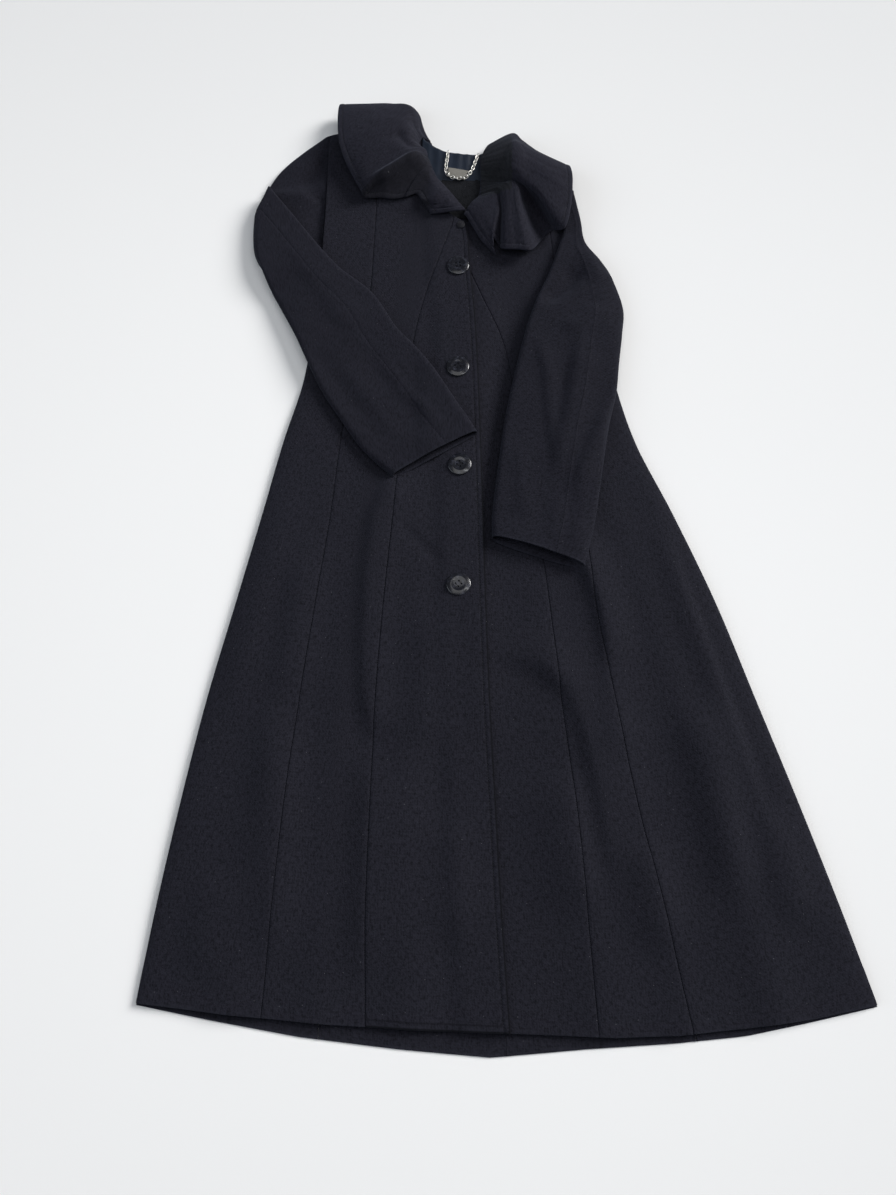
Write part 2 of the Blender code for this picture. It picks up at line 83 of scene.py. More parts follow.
# ---------------------------------------------------------------- body lines
# y, right side, right outer seam, right inner seam, front edge,
# left inner seam, left outer seam, left side, centre back
BODY = np.array([
    (-600, -404, -265, -152,   4,  98, 199, 408,  -1),
    (-480, -389, -258, -154,  -3,  91, 177, 375,  -7),
    (-360, -371, -250, -152,  -8,  83, 153, 340, -15),
    (-240, -350, -239, -149, -13,  71, 134, 303, -22),
    (-120, -324, -225, -142, -16,  61, 117, 266, -29),
    (   0, -298, -211, -132, -18,  49, 108, 221, -40),
    ( 100, -277, -202, -124, -20,  36, 102, 180, -47),
    ( 190, -255, -189, -115, -22,  23,  96, 158, -50),
    ( 250, -248, -181, -109, -24,  11,  92, 148, -52),
    ( 320, -243, -170,  -94, -28, -17,  88, 135, -53),
    ( 380, -239, -167,  -75, -33, -39,  84, 127, -52),
    ( 410, -238, -166,  -65, -34, -44,  81, 123, -51),
    ( 440, -237, -165,  -56, -38, -48,  79, 120, -50),
    ( 500, -236, -163,  -52, -38, -48,  77, 114, -48),
    ( 590, -235, -163,  -52, -38, -48,  76, 105, -45)], float)
COL = {"right_side": 1, "right_outer": 2, "right_inner": 3, "front_edge": 4,
       "left_inner": 5, "left_outer": 6, "left_side": 7, "centre_back": 8}

# x, y along the hems, the shoulders and the neck
FRONT_HEM = ((-404, -575), (-305, -586), (-195, -596), (-90, -602), (0, -605),
             (119, -609), (182, -607), (256, -600), (331, -591), (408, -577))
BACK_HEM = ((-404, -577), (-322, -592), (-221, -609), (-115, -621), (-17, -629),
            (83, -621), (183, -615), (257, -608), (332, -594), (408, -579))
FRONT_TOP = ((-235, 595), (-163, 607), (-111, 615), (-107, 600), (-100, 547),
             (-86, 494), (-63, 456), (-50, 445), (-38, 439), (-18, 453),
             (8, 494), (16, 535), (19, 577), (76, 528), (114, 497))
BACK_TOP = ((-235, 595), (-163, 607), (-111, 615), (-107, 608), (-96, 586),
            (-80, 573), (-67, 566), (-43, 562), (-21, 560), (-8, 564),
            (13, 575), (19, 577), (76, 528), (114, 497))
SHOULDER = ((-260, 592), (-235, 595), (-163, 607), (-111, 615), (-95, 690),
            (5, 690), (19, 577), (76, 528), (114, 497), (140, 470))

# soft upright folds of the skirt: place across the front (0 right side, 1 left
# side), spread, height
FLUTES = ((0.13, 0.035, 3.2), (0.245, 0.030, 2.0), (0.37, 0.035, 3.2),
          (0.63, 0.040, 3.0), (0.735, 0.030, 2.4), (0.86, 0.035, 3.6))

# ------------------------------------------------------------------- sleeves
# right sleeve, upper arm: along, upper edge x y, lower edge x y, thickness
UPPER_ARM = ((0.00, -236.3, 594, -242.5, 362, 7.6),
             (0.35, -268, 567, -264, 356, 7.0),
             (0.70, -300, 534, -296, 360, 6.0),
             (1.00, -321, 501, -321, 366, 5.0))
# right sleeve, forearm: along, upper edge x y, lower edge x y, thickness,
# lift over what it lies on, bow of the fold
FOREARM = ((0.00, -321, 501, -321, 366, 5.0, 1.5, -5),
           (0.10, -283, 450, -315, 350, 6.0, 1.0, -2),
           (0.20, -250, 405, -305, 327, 6.5, 0.5, 0),
           (0.32, -213, 360, -287, 292, 7.0, 0.0, 0),
           (0.44, -168, 320, -268, 255, 7.0, 0.0, 0),
           (0.58, -131, 262, -247, 208, 7.0, 0.0, 0),
           (0.68, -109, 237, -227, 166, 7.0, 0.0, 0),
           (0.78, -82, 200, -203, 128, 7.0, 0.0, 0),
           (0.90, -52, 150, -170, 80, 7.5, 0.0, 0),
           (1.00, -26, 106, -133, 45, 8.0, 0.0, 0))
ELBOW_RADIUS = 6.25
CLEAR = 2.0           # middle of a sleeve's lower layer over what it lies on
# left sleeve: along, outer edge x y, inner edge x y, thickness
LEFT_SLEEVE = ((0.00, 114, 488, 84, 470, 5.0),
               (0.07, 122, 440, 99, 428, 5.0),
               (0.14, 126, 400, 88, 385, 6.0),
               (0.20, 142, 372, 76, 350, 7.0),
               (0.27, 160, 341, 61, 316, 8.0),
               (0.35, 174, 297, 47, 277, 8.5),
               (0.43, 170, 255, 38, 245, 8.5),
               (0.51, 163, 209, 30, 212, 8.0),
               (0.60, 157, 165, 20, 168, 8.0),
               (0.70, 145, 117, 10, 116, 8.0),
               (0.80, 132, 47, 0, 46, 8.5),
               (0.90, 120, -18, -7, -8, 9.0),
               (1.00, 105, -78, -8, -40, 10.0))
# where the two pieces of a sleeve meet, in turns round the tube
RIGHT_SEAMS = (0.403, 1.25)
LEFT_SEAMS = (0.376, 1.70)

# -------------------------------------------------------------------- collar
# a row per fold of the ruffle, from the front end to the centre back; five
# points across it (x, y, height) from the neck seam to the free edge
RUFFLE_RIGHT = (
    ((-38, 454, 18), (-48, 451, 20), (-57, 450, 20), (-71, 449, 18), (-87, 449, 15)),
    ((-49, 470, 17), (-56, 462, 22), (-66, 459, 22), (-78, 459, 20), (-93, 460, 17)),
    ((-66, 494, 17), (-73, 484, 24), (-80, 475, 25), (-88, 468, 23), (-100, 469, 20)),
    ((-77, 509, 16), (-86, 502, 22), (-93, 496, 21), (-100, 487, 19), (-108, 482, 17)),
    ((-84, 523, 16), (-94, 516, 25), (-105, 505, 24), (-115, 491, 21), (-122, 476, 18)),
    ((-86, 530, 16), (-96, 522, 25), (-105, 507, 22), (-114, 492, 19), (-121, 478, 16)),
    ((-89, 539, 16), (-105, 533, 32), (-117, 516, 26), (-128, 494, 21), (-139, 474, 16)),
    ((-92, 548, 16), (-110, 534, 34), (-135, 515, 32), (-148, 496, 23), (-159, 476, 16)),
    ((-93, 555, 16), (-115, 539, 35), (-147, 508, 34), (-166, 491, 26), (-179, 475, 17)),
    ((-95, 562, 16), (-118, 548, 35), (-149, 527, 36), (-175, 491, 30), (-186, 484, 21)),
    ((-98, 570, 15), (-116, 569, 33), (-147, 562, 36), (-182, 550, 34), (-211, 536, 27)),
    ((-96, 579, 12), (-112, 601, 28), (-144, 607, 31), (-181, 603, 31), (-221, 582, 27)),
    ((-90, 588, 10), (-113, 632, 20), (-145, 639, 20), (-181, 639, 20), (-221, 638, 20)),
    ((-86, 588, 2.6), (-107, 630, 5), (-142, 632, 4), (-176, 629, 3), (-206, 620, 3)),
    ((-84, 571, 2.4), (-108, 576, 2.2), (-132, 572, 2.0), (-152, 564, 1.8), (-168, 553, 1.6)),
    ((-68, 562, 2.4), (-78, 546, 2.2), (-92, 530, 2.0), (-106, 515, 1.8), (-118, 502, 1.4)),
    ((-45.2, 559, 2.4), (-45.2, 543, 2.2), (-45.2, 528, 2.0), (-45.2, 513, 1.8), (-45.2, 499, 1.4)))
RUFFLE_LEFT = (
    ((-41, 450, 14), (-36, 442, 16), (-26, 421, 17), (-14, 400, 16), (3, 382, 14)),
    ((-32, 467, 14), (-27, 455, 20), (-18, 433, 22), (-8, 411, 21), (0, 393, 18)),
    ((-23, 477, 14), (-4, 472, 24), (4, 446, 27), (1, 423, 26), (-1, 406, 23)),
    ((-20, 481, 13), (6, 479, 24), (12, 457, 17), (11, 425, 13), (9, 397, 11.8)),
    ((-19, 486, 13), (10, 483, 28), (15, 454, 28), (15, 416, 27), (15, 384, 24)),
    ((-18, 492, 13), (20, 487, 31), (26, 454, 32), (29, 414, 31), (33, 381, 27)),
    ((-17, 499, 13), (28, 487, 31), (36, 450, 32), (43, 413, 31), (51, 380, 27)),
    ((-17, 505, 13), (34, 490, 26), (47, 466, 18), (57, 433, 14), (67, 407, 13)),
    ((-17, 512, 13), (37, 492, 27), (54, 476, 22), (69, 449, 17), (81, 421, 15)),
    ((-17, 522, 13), (30, 497, 34), (49, 478, 36), (74, 444, 35), (98, 414, 30)),
    ((-17, 533, 13), (25, 513, 38), (54, 496, 40), (86, 474, 38), (108, 451, 31)),
    ((-17, 544, 12), (26, 532, 38), (52, 522, 40), (84, 503, 38), (112, 494, 31)),
    ((-13, 557, 12), (25, 561, 30), (39, 551, 33), (74, 533, 32), (111, 520, 25)),
    ((-6, 573, 10), (29, 587, 18), (44, 574, 18), (69, 553, 16), (109, 530, 14)),
    ((-5, 573, 2.6), (29, 588, 4), (45, 574, 4), (67, 554, 3.5), (96, 533, 3.2)),
    ((-20, 557, 2.4), (5, 545, 2.2), (24, 530, 2.0), (42, 514, 1.8), (58, 499, 1.4)),
    ((-32, 559, 2.4), (-22, 541, 2.2), (-11, 525, 2.0), (0, 511, 1.8), (12, 499, 1.4)),
    ((-44.9, 559, 2.4), (-44.9, 543, 2.2), (-44.9, 528, 2.0), (-44.9, 513, 1.8), (-44.9, 499, 1.4)))

# ------------------------------------------------------------------ fittings
BUTTON_RADIUS = 15.0
BUTTONS = ((-49, 365), (-50, 206), (-48, 63), (-50, -99))     # x, y
HOLE_RADIUS = 1.3
HOLE_OFFSET = 2.6
SNAP = (-45, 433)
# x, y, height along the hanging chain
CHAIN = ((-63, 561, 10.4), (-65, 542, 10.8), (-66, 526, 11.6), (-59, 517, 11.8),
         (-48, 514, 11.8), (-36, 517, 11.8), (-29, 528, 11.6), (-24, 543, 10.8),
         (-20, 556, 10.4))
CHAIN_RADIUS = 1.3
LINING_LOW = 452.0
LINING_CLEAR = 0.7    # lining over the back it lies on
LABEL = ((-64, 518), (-39, 512), (-34, 528), (-63, 534))


# ----------------------------------------------------------------- functions
def ease(t):
    t = np.clip(t, 0.0, 1.0)
    return t * t * (3 - 2 * t)


def cubic(keys, rows, q):
    """Smooth curve through the rows of a table; held at its ends."""
    k = np.asarray(keys, float)
    v = np.asarray(rows, float)
    flat = v.reshape(len(k), -1)
    step = np.diff(k)[:, None]
    slope = np.diff(flat, axis=0) / step
    m = np.empty_like(flat)
    m[0], m[-1] = slope[0], slope[-1]
    w0, w1 = step[1:], step[:-1]
    m[1:-1] = (slope[:-1] * w0 + slope[1:] * w1) / (w0 + w1)
    q = np.clip(np.asarray(q, float), k[0], k[-1])
    i = np.clip(np.searchsorted(k, q, side="right") - 1, 0, len(k) - 2)
    h = (k[i + 1] - k[i])[..., None]
    t = ((q - k[i])[..., None]) / h
    a, b, ma, mb = flat[i], flat[i + 1], m[i], m[i + 1]
    out = ((2 * t**3 - 3 * t**2 + 1) * a + (t**3 - 2 * t**2 + t) * h * ma
           + (-2 * t**3 + 3 * t**2) * b + (t**3 - t**2) * h * mb)
    return out.reshape(q.shape + v.shape[1:])


def body_line(name, y):
    if name == "back_right":
        return 0.5 * (body_line("right_side", y) + body_line("centre_back", y))
    if name == "back_left":
        return 0.5 * (body_line("left_side", y) + body_line("centre_back", y))
    if name == "left_under":
        return body_line("front_edge", y) - UNDERLAP
    return cubic(BODY[:, 0], BODY[:, COL[name]], y)


def neck_rise(x, y):
    rho = np.hypot(x - NECK_AT[0], y - NECK_AT[1])
    return NECK_RISE * ease((215 - rho) / 65) * ease((y - 443) / 50)


def flutes(x, y):
    a, b = body_line("right_side", y), body_line("left_side", y)
    w = (x - a) / (b - a)
    f = sum(h * np.exp(-((w - c) / s) ** 2) for c, s, h in FLUTES)
    return f * ease((160 - y) / 560)


def lap(x, y):
    return LAP_RISE * ease((x - body_line("front_edge", y) + 68) / 24)


def back_height(x, y):
    return 1.0 + neck_rise(x, y)


def front_height(x, y):
    xs, ys = zip(*SHOULDER)
    d = np.minimum(x - body_line("right_side", y) + 1.5 * np.maximum(0, y - 365),
                   body_line("left_side", y) - x + 1.5 * np.maximum(0, y - 330))
    d = np.minimum(d, 0.95 * (np.interp(x, xs, ys) - y))
    roll = np.sqrt(1 - (1 - np.clip(d, 0, ROLL) / ROLL) ** 2)
    rise = LAYER - 3.0 * ease((-470 - y) / 120) + flutes(x, y)
    return back_height(x, y) + EDGE_RISE + roll * (rise - EDGE_RISE)


def support(x, y):
    """Top of the cloth that a sleeve lies on, inside the outline of the body."""
    z = back_height(x, y) + LAYER + 1.0 + flutes(x, y)
    return z + np.where(x < body_line("front_edge", y), lap(x + 22, y), 0.0)


def left_support(x, y):
    out = np.maximum(0, x - body_line("left_side", y))
    return support(x, y) * (1 - ease(out / 60))


def right_support(x, y):
    out = np.minimum(body_line("right_side", y) - x, 370 - y)
    return support(x, y) * (1 - ease(np.maximum(0, out) / 110))


def panel(left, right, hem, top, height):
    """One cut piece of the body as a function of (across, up)."""
    hx, hy = zip(*hem)
    ku, ky = [], []
    for x, y in top:
        a, b = float(body_line(left, y)), float(body_line(right, y))
        if not ku or (x - a) / (b - a) > ku[-1]:
            ku.append((x - a) / (b - a))
            ky.append(y)

    def f(u, v):
        a, b = body_line(left, -600.0) , body_line(right, -600.0)
        low = np.interp(a + (b - a) * u, hx, hy)
        y = low + (np.interp(u, ku, ky) - low) * v
        x = (body_line(left, y) + SEAM) * (1 - u) + (body_line(right, y) - SEAM) * u
        return x, y, height(x, y)
    return f


def tube_place(r, width, thick):
    """Place across a flattened tube, and offset from its middle, at turn r."""
    s = (1 - np.cos(np.pi * r)) / 2
    edge = 0.8 * thick
    d = np.clip(np.minimum(s, 1 - s) * width / edge, 0, 1)
    side = np.where((r % 2.0) < 1.0, -1.0, 1.0)
    return s, side * 0.5 * thick * np.sqrt(np.maximum(0, 1 - (1 - d) ** 2))


def right_sleeve(u, r):
    """u: 0-1 upper arm, 1-2 the fold at the elbow, 2-3 forearm; r round the tube."""
    ua = np.asarray(UPPER_ARM, float)
    fa = np.asarray(FOREARM, float)
    up = cubic(ua[:, 0], ua[:, 1:], np.clip(u, 0, 1))
    fo = cubic(fa[:, 0], fa[:, 1:], np.clip(u - 2, 0, 1))
    fore = u >= 2
    e = np.where(fore[..., None], fo[..., :5], up)
    width = np.hypot(e[..., 0] - e[..., 2], e[..., 1] - e[..., 3])
    s, n = tube_place(r, width, e[..., 4])
    bow = np.where(fore, fo[..., 6], -5 * ease((u - 0.6) / 0.4))
    x = e[..., 0] * (1 - s) + e[..., 2] * s + bow * 4 * s * (1 - s)
    y = e[..., 1] * (1 - s) + e[..., 3] * s
    half = 0.5 * e[..., 4]
    z_up = 1.0 + neck_rise(x, y) + half + n
    z_fore = right_support(x, y) + CLEAR + fo[..., 5] + half - n
    theta = np.pi * np.clip(u - 1, 0, 1)
    bend = (u > 1) & (u < 2)
    reach = ELBOW_RADIUS - n
    round_end = 0.45 + 0.55 * np.sqrt(1 - (2 * s - 1) ** 4)
    z = np.where(fore, z_fore, z_up)
    z = np.where(bend, 1.0 + half + ELBOW_RADIUS - reach * np.cos(theta), z)
    x = np.where(bend, x - round_end * reach * np.sin(theta), x)
    return x, y, z


def left_sleeve(u, r):
    t = np.asarray(LEFT_SLEEVE, float)
    e = cubic(t[:, 0], t[:, 1:], u)
    width = np.hypot(e[..., 0] - e[..., 2], e[..., 1] - e[..., 3])
    s, n = tube_place(r, width, e[..., 4])
    x = e[..., 0] * (1 - s) + e[..., 2] * s
    y = e[..., 1] * (1 - s) + e[..., 3] * s
    return x, y, left_support(x, y) + CLEAR + 0.5 * e[..., 4] - n


def ruffle(table):
    rows = np.asarray(table, float)
    keys = np.arange(len(rows), dtype=float)

    def f(u, v):
        across = cubic(keys, rows.reshape(len(rows), -1), u)
        across = across.reshape(u.shape + (5, 3))
        t = v * 4
        i = np.clip(t.astype(int), 0, 3)
        w = (t - i)[..., None]
        pick = lambda k: np.take_along_axis(
            across, np.clip(k, 0, 4)[..., None, None].repeat(3, -1), axis=-2)[..., 0, :]
        a, b, c, d = pick(i - 1), pick(i), pick(i + 1), pick(i + 2)
        ma, mb = (c - a) / 2, (d - b) / 2
        p = ((2 * w**3 - 3 * w**2 + 1) * b + (w**3 - 2 * w**2 + w) * ma
             + (-2 * w**3 + 3 * w**2) * c + (w**3 - w**2) * mb)
        return p[..., 0], p[..., 1], p[..., 2]
    return f


def lining(u, v):
    xs, ys = zip(*BACK_TOP[3:11])
    x = -100 + 112 * u
    top = np.interp(x, xs, ys) - 1.5
    y = LINING_LOW + (top - LINING_LOW) * v
    return x, y, back_height(x, y) + 1 + LINING_CLEAR + 0.5 * LINING_WALL


def label(u, v):
    c = np.asarray(LABEL, float)
    p = ((1 - u)[..., None] * (1 - v)[..., None] * c[0] + u[..., None] * (1 - v)[..., None] * c[1]
         + u[..., None] * v[..., None] * c[2] + (1 - u)[..., None] * v[..., None] * c[3])
    x, y = p[..., 0], p[..., 1]
    return x, y, back_height(x, y) + 1 + LINING_CLEAR + LINING_WALL + 0.4 + 0.5 * LINING_WALL


# ------------------------------------------------------------ cloth that shows
CLOTH = 1.7             # thickness of the wool as it shows
DOUBLED = 2.2           # the ruffles, two layers pressed together
SATIN = 0.7
TOPSTITCH = 7.5         # stitching from a finished edge
HEM_DEPTH = 42.0
MEET = 0.16              # the centre back's two edges closed up to each other

# Soft creases and ridges: the line that each follows towards the
# hem, its width towards +X and towards -X of that line, and its height; a minus
# is a trough.
BODY_CREASES = (
    (((62, -30), (92, -48), (111, -80), (124, -116), (131, -160), (134, -215)), 26, 12, 9.0, 0.24),
    (((131, -160), (134, -231), (136, -325)), 34, 20, 4.5),
    (((-46, -182), (0, -182), (53, -197), (84, -228), (101, -279), (114, -348), (126, -437), (140, -495)), 34, 16, 9.0),
    (((-108, 62), (-136, 34), (-152, -10), (-159, -79), (-161, -169), (-158, -231), (-147, -300)), 28, 13, 7.4, 0.14),
    (((62, -314), (77, -415), (87, -500)), 26, 44, 8.6),
    (((-28, -66), (-26, -182), (-24, -314)), 22, 26, 3.0),
    (((-263, -231), (-258, -382), (-253, -561)), 30, 24, 8.0),
    (((-150, -279), (-151, -426), (-156, -571)), 44, 24, 8.8),
    (((223, -219), (245, -308), (256, -404), (259, -490)), 24, 32, 8.5),
    (((294, -348), (312, -431), (323, -510)), 30, 24, 6.0),
    (((197, 29), (225, -106), (256, -219), (291, -359), (309, -437)), 10, 22, 5.0),
    (((-304, 99), (-314, -40), (-331, -169), (-337, -290)), 50, 16, 7.0),
    (((-233, -40), (-245, -144), (-256, -267)), 26, 22, 5.0),
    (((-126, -15), (-101, -40), (-65, -74)), 6, 8, -2.2),
    (((-78, -106), (-84, -219), (-91, -325)), 28, 22, 5.2),
    (((155, -393), (167, -469), (173, -531)), 26, 30, 6.0),
    (((-65, -359), (-59, -447), (-55, -531)), 26, 30, 5.2),
    (((-326, -426), (-329, -500), (-331, -561)), 26, 24, 4.0),
    (((38, 418), (24, 280), (5, 114), (-13, -66)), 40, 24, -4.6),
)
FOREARM_CREASES = (
    (((-292, 418), (-223, 305), (-164, 224)), 30, 14, 2.6),
    (((-261, 258), (-191, 152), (-129, 73)), 16, 12, -1.6),
    (((-194, 242), (-132, 164), (-73, 94)), 12, 16, -2.0),
    (((-219, 224), (-162, 145), (-112, 80)), 10, 12, 1.6),
    (((-164, 224), (-107, 152), (-58, 100)), 8, 12, 1.6),
)
UPPER_ARM_CREASES = (
    (((-231, 569), (-249, 530), (-276, 495)), 24, 12, -6.0),
    (((-327, 490), (-273, 490), (-257, 479), (-235, 459)), 5, 14, 3.4),
    (((-243, 505), (-245, 450), (-244, 388)), 9, 17, -5.5, 0.2),
    (((-322, 464), (-327, 437), (-326, 404)), 7, 5, 1.6),
)
LEFT_ARM_CREASES = (
    (((125, 276), (112, 227), (99, 159), (82, 80), (73, 27)), 24, 9, 6.5),
    (((52, 265), (66, 197), (69, 129), (74, 46)), 12, 5, 3.4),
    (((153, 158), (132, 107), (112, 58), (95, 9)), 14, 10, 5.2),
    (((122, 362), (100, 327), (62, 296)), 10, 16, -6.5),
    (((142, 303), (121, 275), (86, 256)), 14, 12, 3.1),
    (((112, 400), (131, 364), (151, 327)), 10, 12, 2.9),
    (((29, 94), (30, 24), (33, -30)), 12, 10, 1.8),
    (((78, 24), (72, -17), (65, -59)), 10, 10, 2.1),
    (((110, 38), (102, -17), (92, -65)), 9, 12, 2.1),
)
COLLAR_CREASES = (
    (((-97, 548), (-106, 538), (-141, 512), (-180, 489)), 18, 4, 7.5),
    (((-112, 507), (-126, 492), (-150, 476)), 6, 8, -1.6),
    (((-140, 580), (-126, 561), (-108, 546)), 10, 9, -5.0),
    (((36, 572), (28, 530), (24, 474)), 16, 5, 5.0),
    (((38, 488), (60, 462), (86, 408)), 4, 9, -5.5),
    (((14, 490), (11, 437), (8, 379)), 9, 4, 1.4),
    (((2, 474), (0, 430), (-2, 387)), 5, 5, -1.2),
    (((-67, 491), (-80, 467), (-87, 444)), 6, 6, 1.6),
)
NECK_PLEATS = (-93, -79, -64, -50, -37, -24, -9)     # x of the lining's soft pleats

FACING_TOP = 514.0
STAND = (-16.0, 27.0, 476.0)     # x from, x to and y from of the stand's inner side
SHADED_FACET_LINE = ((-176, 489), (-106, 540))     # below this line the right ruffle's facet gets painted shade: darker colour for the facet that faces away from the light
SHADED_FACET_TO = -84.0
SKY = (0.93, 0.96, 1.0)


def shift(p):
    q = p * MM
    q[..., 0] += SHIFT[0] * MM
    q[..., 1] += SHIFT[1] * MM
    return q


def arc(p, axis):
    """Length along a grid from its first row."""
    d = np.linalg.norm(np.diff(p, axis=axis), axis=-1)
    return np.cumsum(np.concatenate([np.zeros_like(np.take(d, [0], axis=axis)), d], axis=axis), axis=axis)


def normals(p):
    n = np.cross(np.gradient(p, axis=0), np.gradient(p, axis=1))
    return n / np.maximum(np.linalg.norm(n, axis=-1, keepdims=True), 1e-9)


def crease(x, y, line, left, right, height, fade=0.3):
    """A soft ridge or trough along a line, fading out at both ends."""
    pts = np.asarray(line, float)
    best = np.full(np.shape(x), 1e9)
    where = np.zeros(np.shape(x))
    hand = np.zeros(np.shape(x))
    length = np.concatenate([[0], np.cumsum(np.hypot(*np.diff(pts, axis=0).T))])
    for k in range(len(pts) - 1):
        (ax, ay), (bx, by) = pts[k], pts[k + 1]
        dx, dy = bx - ax, by - ay
        t = np.clip(((x - ax) * dx + (y - ay) * dy) / (dx * dx + dy * dy), 0, 1)
        gap = np.hypot(x - ax - t * dx, y - ay - t * dy)
        near = gap < best
        best = np.where(near, gap, best)
        where = np.where(near, length[k] + t * (length[k + 1] - length[k]), where)
        hand = np.where(near, dx * (y - ay) - dy * (x - ax), hand)
    s = where / length[-1]
    width = np.where(hand > 0, left, right)
    return height * np.exp(-(best / width) ** 2) * ease(s / fade) * ease((1 - s) / fade)


def creases(x, y, rows):
    return sum(crease(x, y, *row) for row in rows)


def ripple(x, y, size, height, turn=0.0):
    """Slow uneven waves, the same every time."""
    a, b = x * math.cos(turn) + y * math.sin(turn), y * math.cos(turn) - x * math.sin(turn)
    k = 2 * math.pi / size
    return height * (np.sin(k * a + 1.3 * np.sin(0.61 * k * b)) * 0.5
                     + np.sin(1.73 * k * b + 0.9 * np.sin(0.83 * k * a + 2.0)) * 0.3
                     + np.sin(2.39 * k * (a + 0.4 * b) + 1.1) * 0.2)


FINE = (0, 0.2, 0.5, 0.9, 1.5, 2.3, 3.4, 5.0, 7.5)
STITCHED = (0, 0.2, 0.5, 0.9, 1.5, 2.6, 4.2, 5.6, 6.4, 7.0, 7.5, 8.0, 8.6, 9.6, 11.5)


def places(length, step, start=FINE, stop=FINE, count=None):
    """Places along sides of one or several lengths, closer together at their ends."""
    length = np.atleast_1d(np.asarray(length, float))
    if count is None:
        count = max(3, int(round((length.max() - start[-1] - stop[-1]) / step)))
    room = np.maximum(start[-1] + stop[-1], 1e-6)
    k = np.minimum(1.0, 0.6 * length / room)
    a = np.asarray(start)[:, None] * k
    b = length - np.asarray(stop)[::-1, None] * k
    t = np.linspace(0, 1, count + 1)[1:-1, None]
    return np.concatenate([a, a[-1] + (b[0] - a[-1]) * t, b]) / length


def mesh_of(name, verts, faces, mat, smooth=True):
    mesh = bpy.data.meshes.new(name)
    mesh.from_pydata(verts if isinstance(verts, list) else verts.tolist(), [],
                     faces if isinstance(faces, list) else faces.tolist())
    if smooth:
        mesh.shade_smooth()
    mesh.materials.append(mat)
    ob = bpy.data.objects.new(name, mesh)
    scene.collection.objects.link(ob)
    return ob


def shell(name, p, wall, mat, ends, side=1.0, profile=None):
    """A thin wall of cloth round the grid p: rounded rims, the cut in its UV map."""
    nu, nv = p.shape[:2]
    across, along = arc(p, 0), arc(p, 1)
    gap = {"u0": across, "u1": across[-1:] - across, "v0": along, "v1": along[:, -1:] - along}
    n = normals(p) * side
    rise = np.zeros((nu, nv))
    edge, sewn_at = np.full((nu, nv), 99.0), np.full((nu, nv), 99.0)
    for key, kind in ends.items():
        d = gap[key]
        if kind == "seam":
            rise += -0.45 * np.exp(-(d / 1.5) ** 2) + 0.16 * np.exp(-((d - 5.5) / 3.8) ** 2)
            sewn_at = np.minimum(sewn_at, d)
        elif kind == "pressed":
            rise += -0.32 * np.exp(-(d / 1.4) ** 2) + 0.12 * np.exp(-((d - 5.5) / 3.5) ** 2)
        elif kind == "stitched":
            rise += (-0.55 * np.exp(-((d - TOPSTITCH) / 1.1) ** 2) + 0.30 * np.exp(-((d - 3.6) / 2.4) ** 2)
                     - 0.25 * np.exp(-(d / 1.0) ** 2))
            edge = np.minimum(edge, d)
        elif kind == "hem":
            rise += 0.35 * ease((HEM_DEPTH - d) / 5) - 0.30 * np.exp(-(d / 1.6) ** 2)
            edge = np.minimum(edge, d)
    if profile is not None:
        rise = rise + profile
    p = p + n * rise[..., None]
    n = normals(p)
    near = np.minimum.reduce([gap[k] for k in gap if ends.get(k) != "pressed"])
    t = np.clip(near / (0.5 * wall), 0.08, 1)
    half = 0.5 * wall * np.sqrt(1 - (1 - t) ** 2)
    top, low = p + n * half[..., None], p - n * half[..., None]
    idx = np.arange(nu * nv).reshape(nu, nv)
    base = nu * nv
    q = lambda a, b, c, d: np.stack([a.ravel(), b.ravel(), c.ravel(), d.ravel()], axis=1)
    faces = np.concatenate([
        q(idx[:-1, :-1], idx[1:, :-1], idx[1:, 1:], idx[:-1, 1:]),
        q(idx[:-1, :-1], idx[:-1, 1:], idx[1:, 1:], idx[1:, :-1]) + base,
        q(idx[:-1, 0], idx[:-1, 0] + base, idx[1:, 0] + base, idx[1:, 0]),
        q(idx[:-1, -1], idx[1:, -1], idx[1:, -1] + base, idx[:-1, -1] + base),
        q(idx[0, :-1], idx[0, 1:], idx[0, 1:] + base, idx[0, :-1] + base),
        q(idx[-1, :-1], idx[-1, :-1] + base, idx[-1, 1:] + base, idx[-1, 1:])])
    verts = shift(np.concatenate([top.reshape(-1, 3), low.reshape(-1, 3)]))
    ob = mesh_of(name, verts, faces, mat)
    mesh = ob.data
    uv = np.stack([across.ravel(), along.ravel()], axis=1) * MM
    uv = np.concatenate([uv, uv + 0.37])
    loops = np.empty(len(mesh.loops), dtype=np.int32)
    mesh.loops.foreach_get("vertex_index", loops)
    layer = mesh.uv_layers.new(name="cut")
    layer.data.foreach_set("uv", uv[loops].astype(np.float32).ravel())
    for key, far in (("edge_mm", edge), ("seam_mm", sewn_at)):
        near_to = mesh.attributes.new(key, "FLOAT", "POINT")
        near_to.data.foreach_set("value", np.concatenate([far.ravel(), far.ravel()]).astype(np.float32))
    return ob, p, n


def settle(ob, node):
    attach(ob, "root")
    if node:
        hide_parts(*([node] if isinstance(node, str) else node))
    return ob


